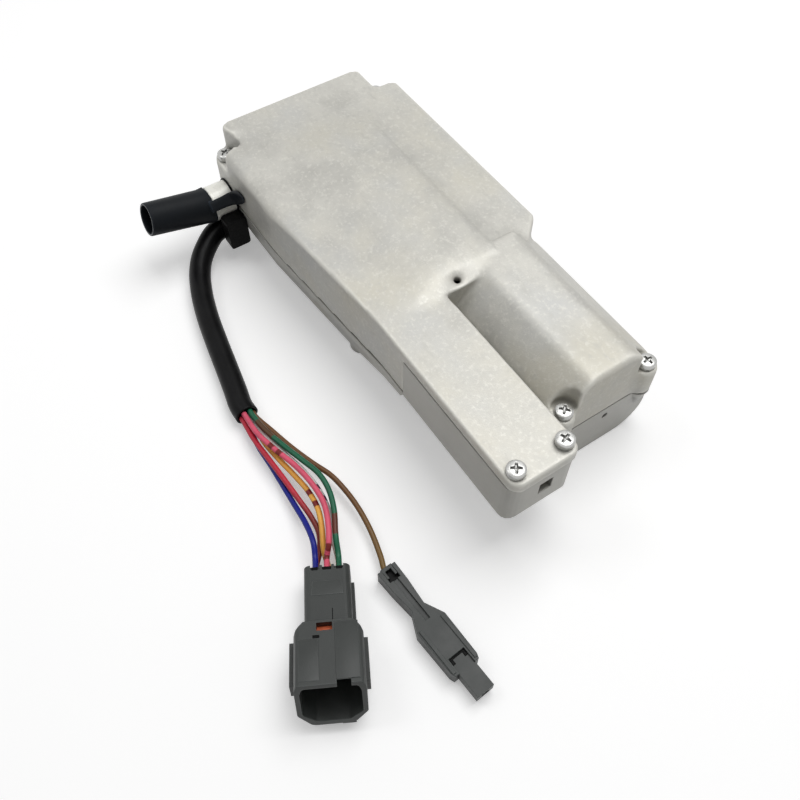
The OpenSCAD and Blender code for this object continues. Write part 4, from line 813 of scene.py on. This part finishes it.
# Plate with a chamfered top between two heights, its corners in the place's own millimetres
def plug_plate(bm, corners, z_low, z_high, inset=0.25, place=plug_point):
    mid = [sum(c[i] for c in corners) / len(corners) for i in (0, 1)]
    top = [(x + math.copysign(inset, mid[0] - x), y + math.copysign(inset, mid[1] - y)) for x, y in corners]
    layers = ((z_low, corners), (z_high - CHAMFER, corners), (z_high, top))
    made = grid(bm, [[Vector(place(x, y, z)) / 1000 for x, y in line] for z, line in layers])
    bm.faces.new(made[-1])
    bm.faces.new(made[0][::-1])


def box_corners(x0, x1, y0, y1):
    return [(x0, y0), (x1, y0), (x1, y1), (x0, y1)]


# Trim on the plug: a raised pad on its tail and low plates on its shroud, and dark plates as painted
# shade for the rear slots on its tail and a recess on its shroud, with a dark line on its tail
TAIL_TOP, SHROUD_TOP = 18.9, 22.5
bm = bmesh.new()
plug_plate(bm, [(7.2, -5.6), (13.5, -6.2), (13.5, 6.2), (7.2, 5.6)], TAIL_TOP - 0.3, TAIL_TOP + 0.2, 0.7)
plug_plate(bm, box_corners(27.4, 49.5, 2.4, 10.8), SHROUD_TOP - 0.4, SHROUD_TOP + 0.3)
plug_plate(bm, box_corners(33.5, 49.5, -10.8, -3.4), SHROUD_TOP - 0.4, SHROUD_TOP + 0.16)
trim = link("plug_trim", bm, "plug_grey", "housing", 30)
# Dark plates: painted shade for the rear slots and the recess, and a dark line
bm = bmesh.new()
plug_plate(bm, box_corners(32.0, 33.3, -5.6, -3.0), SHROUD_TOP - 0.2, SHROUD_TOP + 0.06, 0.1)
plug_plate(bm, box_corners(19.32, 25.98, 1.88, 1.52), TAIL_TOP - 0.2, TAIL_TOP + 0.05, 0.054)
for low, high in ((-5.9, -3.4), (-1.6, 1.8), (3.6, 6.1)):
    plug_plate(bm, box_corners(0.9, 2.4, low, high), TAIL_TOP - 0.3, TAIL_TOP + 0.05, 0.12)
marks = link("plug_recess_shade", bm, "grommet", "housing", 30)
plug_parts += [trim, marks]

# Trim on the tab connector: a bar over the lead's entry, and dark plates as painted shade in the
# hollows behind it and round the nose
TAB_AT, TAB_YAW = (151.3, -86.6), math.radians(4.5)


def tab_point(x, y, z):
    return (TAB_AT[0] + x * math.cos(TAB_YAW) - y * math.sin(TAB_YAW),
            TAB_AT[1] + x * math.sin(TAB_YAW) + y * math.cos(TAB_YAW), z)


bm = bmesh.new()
plug_plate(bm, box_corners(-0.5, 1.1, -2.6, 2.6), 5.7, 8.0, 0.2, tab_point)
for side in (-1, 1):
    low, high = sorted((side * 1.35, side * 2.5))
    plug_plate(bm, box_corners(1.0, 4.2, low, high), 5.4, 7.9, 0.2, tab_point)
tab_trim = link("tab_trim", bm, "plug_grey", "housing", 30)
# Dark plates: painted shade in the hollows behind the bar and round the nose
bm = bmesh.new()
plug_plate(bm, box_corners(1.0, 5.95, -2.45, 2.45), 5.4, 5.9, 0.1, tab_point)
plug_plate(bm, box_corners(42.6, 43.5, -3.65, 3.65), 7.1, 7.32, 0.1, tab_point)
for side in (-1, 1):
    low, high = sorted((side * 2.2, side * 3.65))
    plug_plate(bm, box_corners(43.4, 45.4, low, high), 7.1, 7.3, 0.1, tab_point)
tab_shade_plates = link("tab_hollow_shade", bm, "grommet", "housing", 30)
tab_parts += [tab_trim, tab_shade_plates]


# 1 for the rays of the camera, of reflections and through clear parts, 0 for those that light
def seen_directly(tree):
    lp = tree.nodes.new("ShaderNodeLightPath")
    total = math_node(tree, "ADD", lp.outputs["Is Camera Ray"], lp.outputs["Is Glossy Ray"])
    node = tree.nodes.new("ShaderNodeMath")
    node.operation = "ADD"
    node.use_clamp = True
    tree.links.new(total, node.inputs[0])
    tree.links.new(lp.outputs["Is Transmission Ray"], node.inputs[1])
    return node.outputs[0]


# Floor and world: white to the camera and in metal, softer as light, with the shadow kept. The
# floor glows more from GLOW_FROM to GLOW_TO metres off the origin, which hides its far edge
FLOOR_HALF = 4
GLOW_FROM, GLOW_TO = 0.4, 1.3

floor_mesh = bpy.data.meshes.new("floor")
bm = bmesh.new()
bmesh.ops.create_grid(bm, x_segments=1, y_segments=1, size=FLOOR_HALF)
bm.to_mesh(floor_mesh)
bm.free()
floor = bpy.data.objects.new("floor", floor_mesh)
floor.location = (0.05, 0, -0.0002)
scene.collection.objects.link(floor)
floor_mat, tree, bsdf = new_material("floor")
bsdf.inputs["Base Color"].default_value = (0.4, 0.4, 0.4, 1)
bsdf.inputs["Roughness"].default_value = 0.9
bsdf.inputs["Specular IOR Level"].default_value = 0.1
shown = tree.nodes.new("ShaderNodeBsdfDiffuse")
shown.inputs["Color"].default_value = (0.95, 0.95, 0.95, 1)
glow = tree.nodes.new("ShaderNodeEmission")
away = tree.nodes.new("ShaderNodeVectorMath")
away.operation = "LENGTH"
tree.links.new(tree.nodes.new("ShaderNodeNewGeometry").outputs["Position"], away.inputs[0])
brighter = remap(tree, away.outputs["Value"], GLOW_FROM, GLOW_TO, 0.31, 0.8)
tree.links.new(brighter, glow.inputs["Strength"])
both = tree.nodes.new("ShaderNodeAddShader")
pick = tree.nodes.new("ShaderNodeMixShader")
tree.links.new(shown.outputs[0], both.inputs[0])
tree.links.new(glow.outputs[0], both.inputs[1])
tree.links.new(seen_directly(tree), pick.inputs[0])
tree.links.new(bsdf.outputs[0], pick.inputs[1])
tree.links.new(both.outputs[0], pick.inputs[2])
surface_out = next(n for n in tree.nodes if n.type == "OUTPUT_MATERIAL")
tree.links.new(pick.outputs[0], surface_out.inputs[0])
floor_mesh.materials.append(floor_mat)

world = bpy.data.worlds.new("world")
scene.world = world
world.use_nodes = True
tree = world.node_tree
tree.nodes.clear()
out = tree.nodes.new("ShaderNodeOutputWorld")
light, white = (tree.nodes.new("ShaderNodeBackground") for _ in range(2))
for node, strength in ((light, 0.26), (white, 1.0)):
    node.inputs[0].default_value = (1, 1, 1, 1)
    node.inputs[1].default_value = strength
pick = tree.nodes.new("ShaderNodeMixShader")
tree.links.new(seen_directly(tree), pick.inputs[0])
tree.links.new(light.outputs[0], pick.inputs[1])
tree.links.new(white.outputs[0], pick.inputs[2])
tree.links.new(pick.outputs[0], out.inputs[0])


# Lamp aimed at a point
def area(name, loc, target, size, energy):
    d = bpy.data.lights.new(name, "AREA")
    d.shape = "RECTANGLE"
    d.size, d.size_y = size
    d.energy = energy
    o = bpy.data.objects.new(name, d)
    o.location = loc
    o.rotation_euler = (Vector(target) - Vector(loc)).to_track_quat("-Z", "Y").to_euler()
    scene.collection.objects.link(o)


LIT_POINT = (0.05, 0, 0)
area("key", (0.0, 0.34, 1.12), LIT_POINT, size=(0.8, 0.8), energy=7.2)
area("side", (-0.42, -0.5, 1.05), LIT_POINT, size=(0.4, 0.4), energy=1.3)

scene.view_settings.view_transform = "Standard"
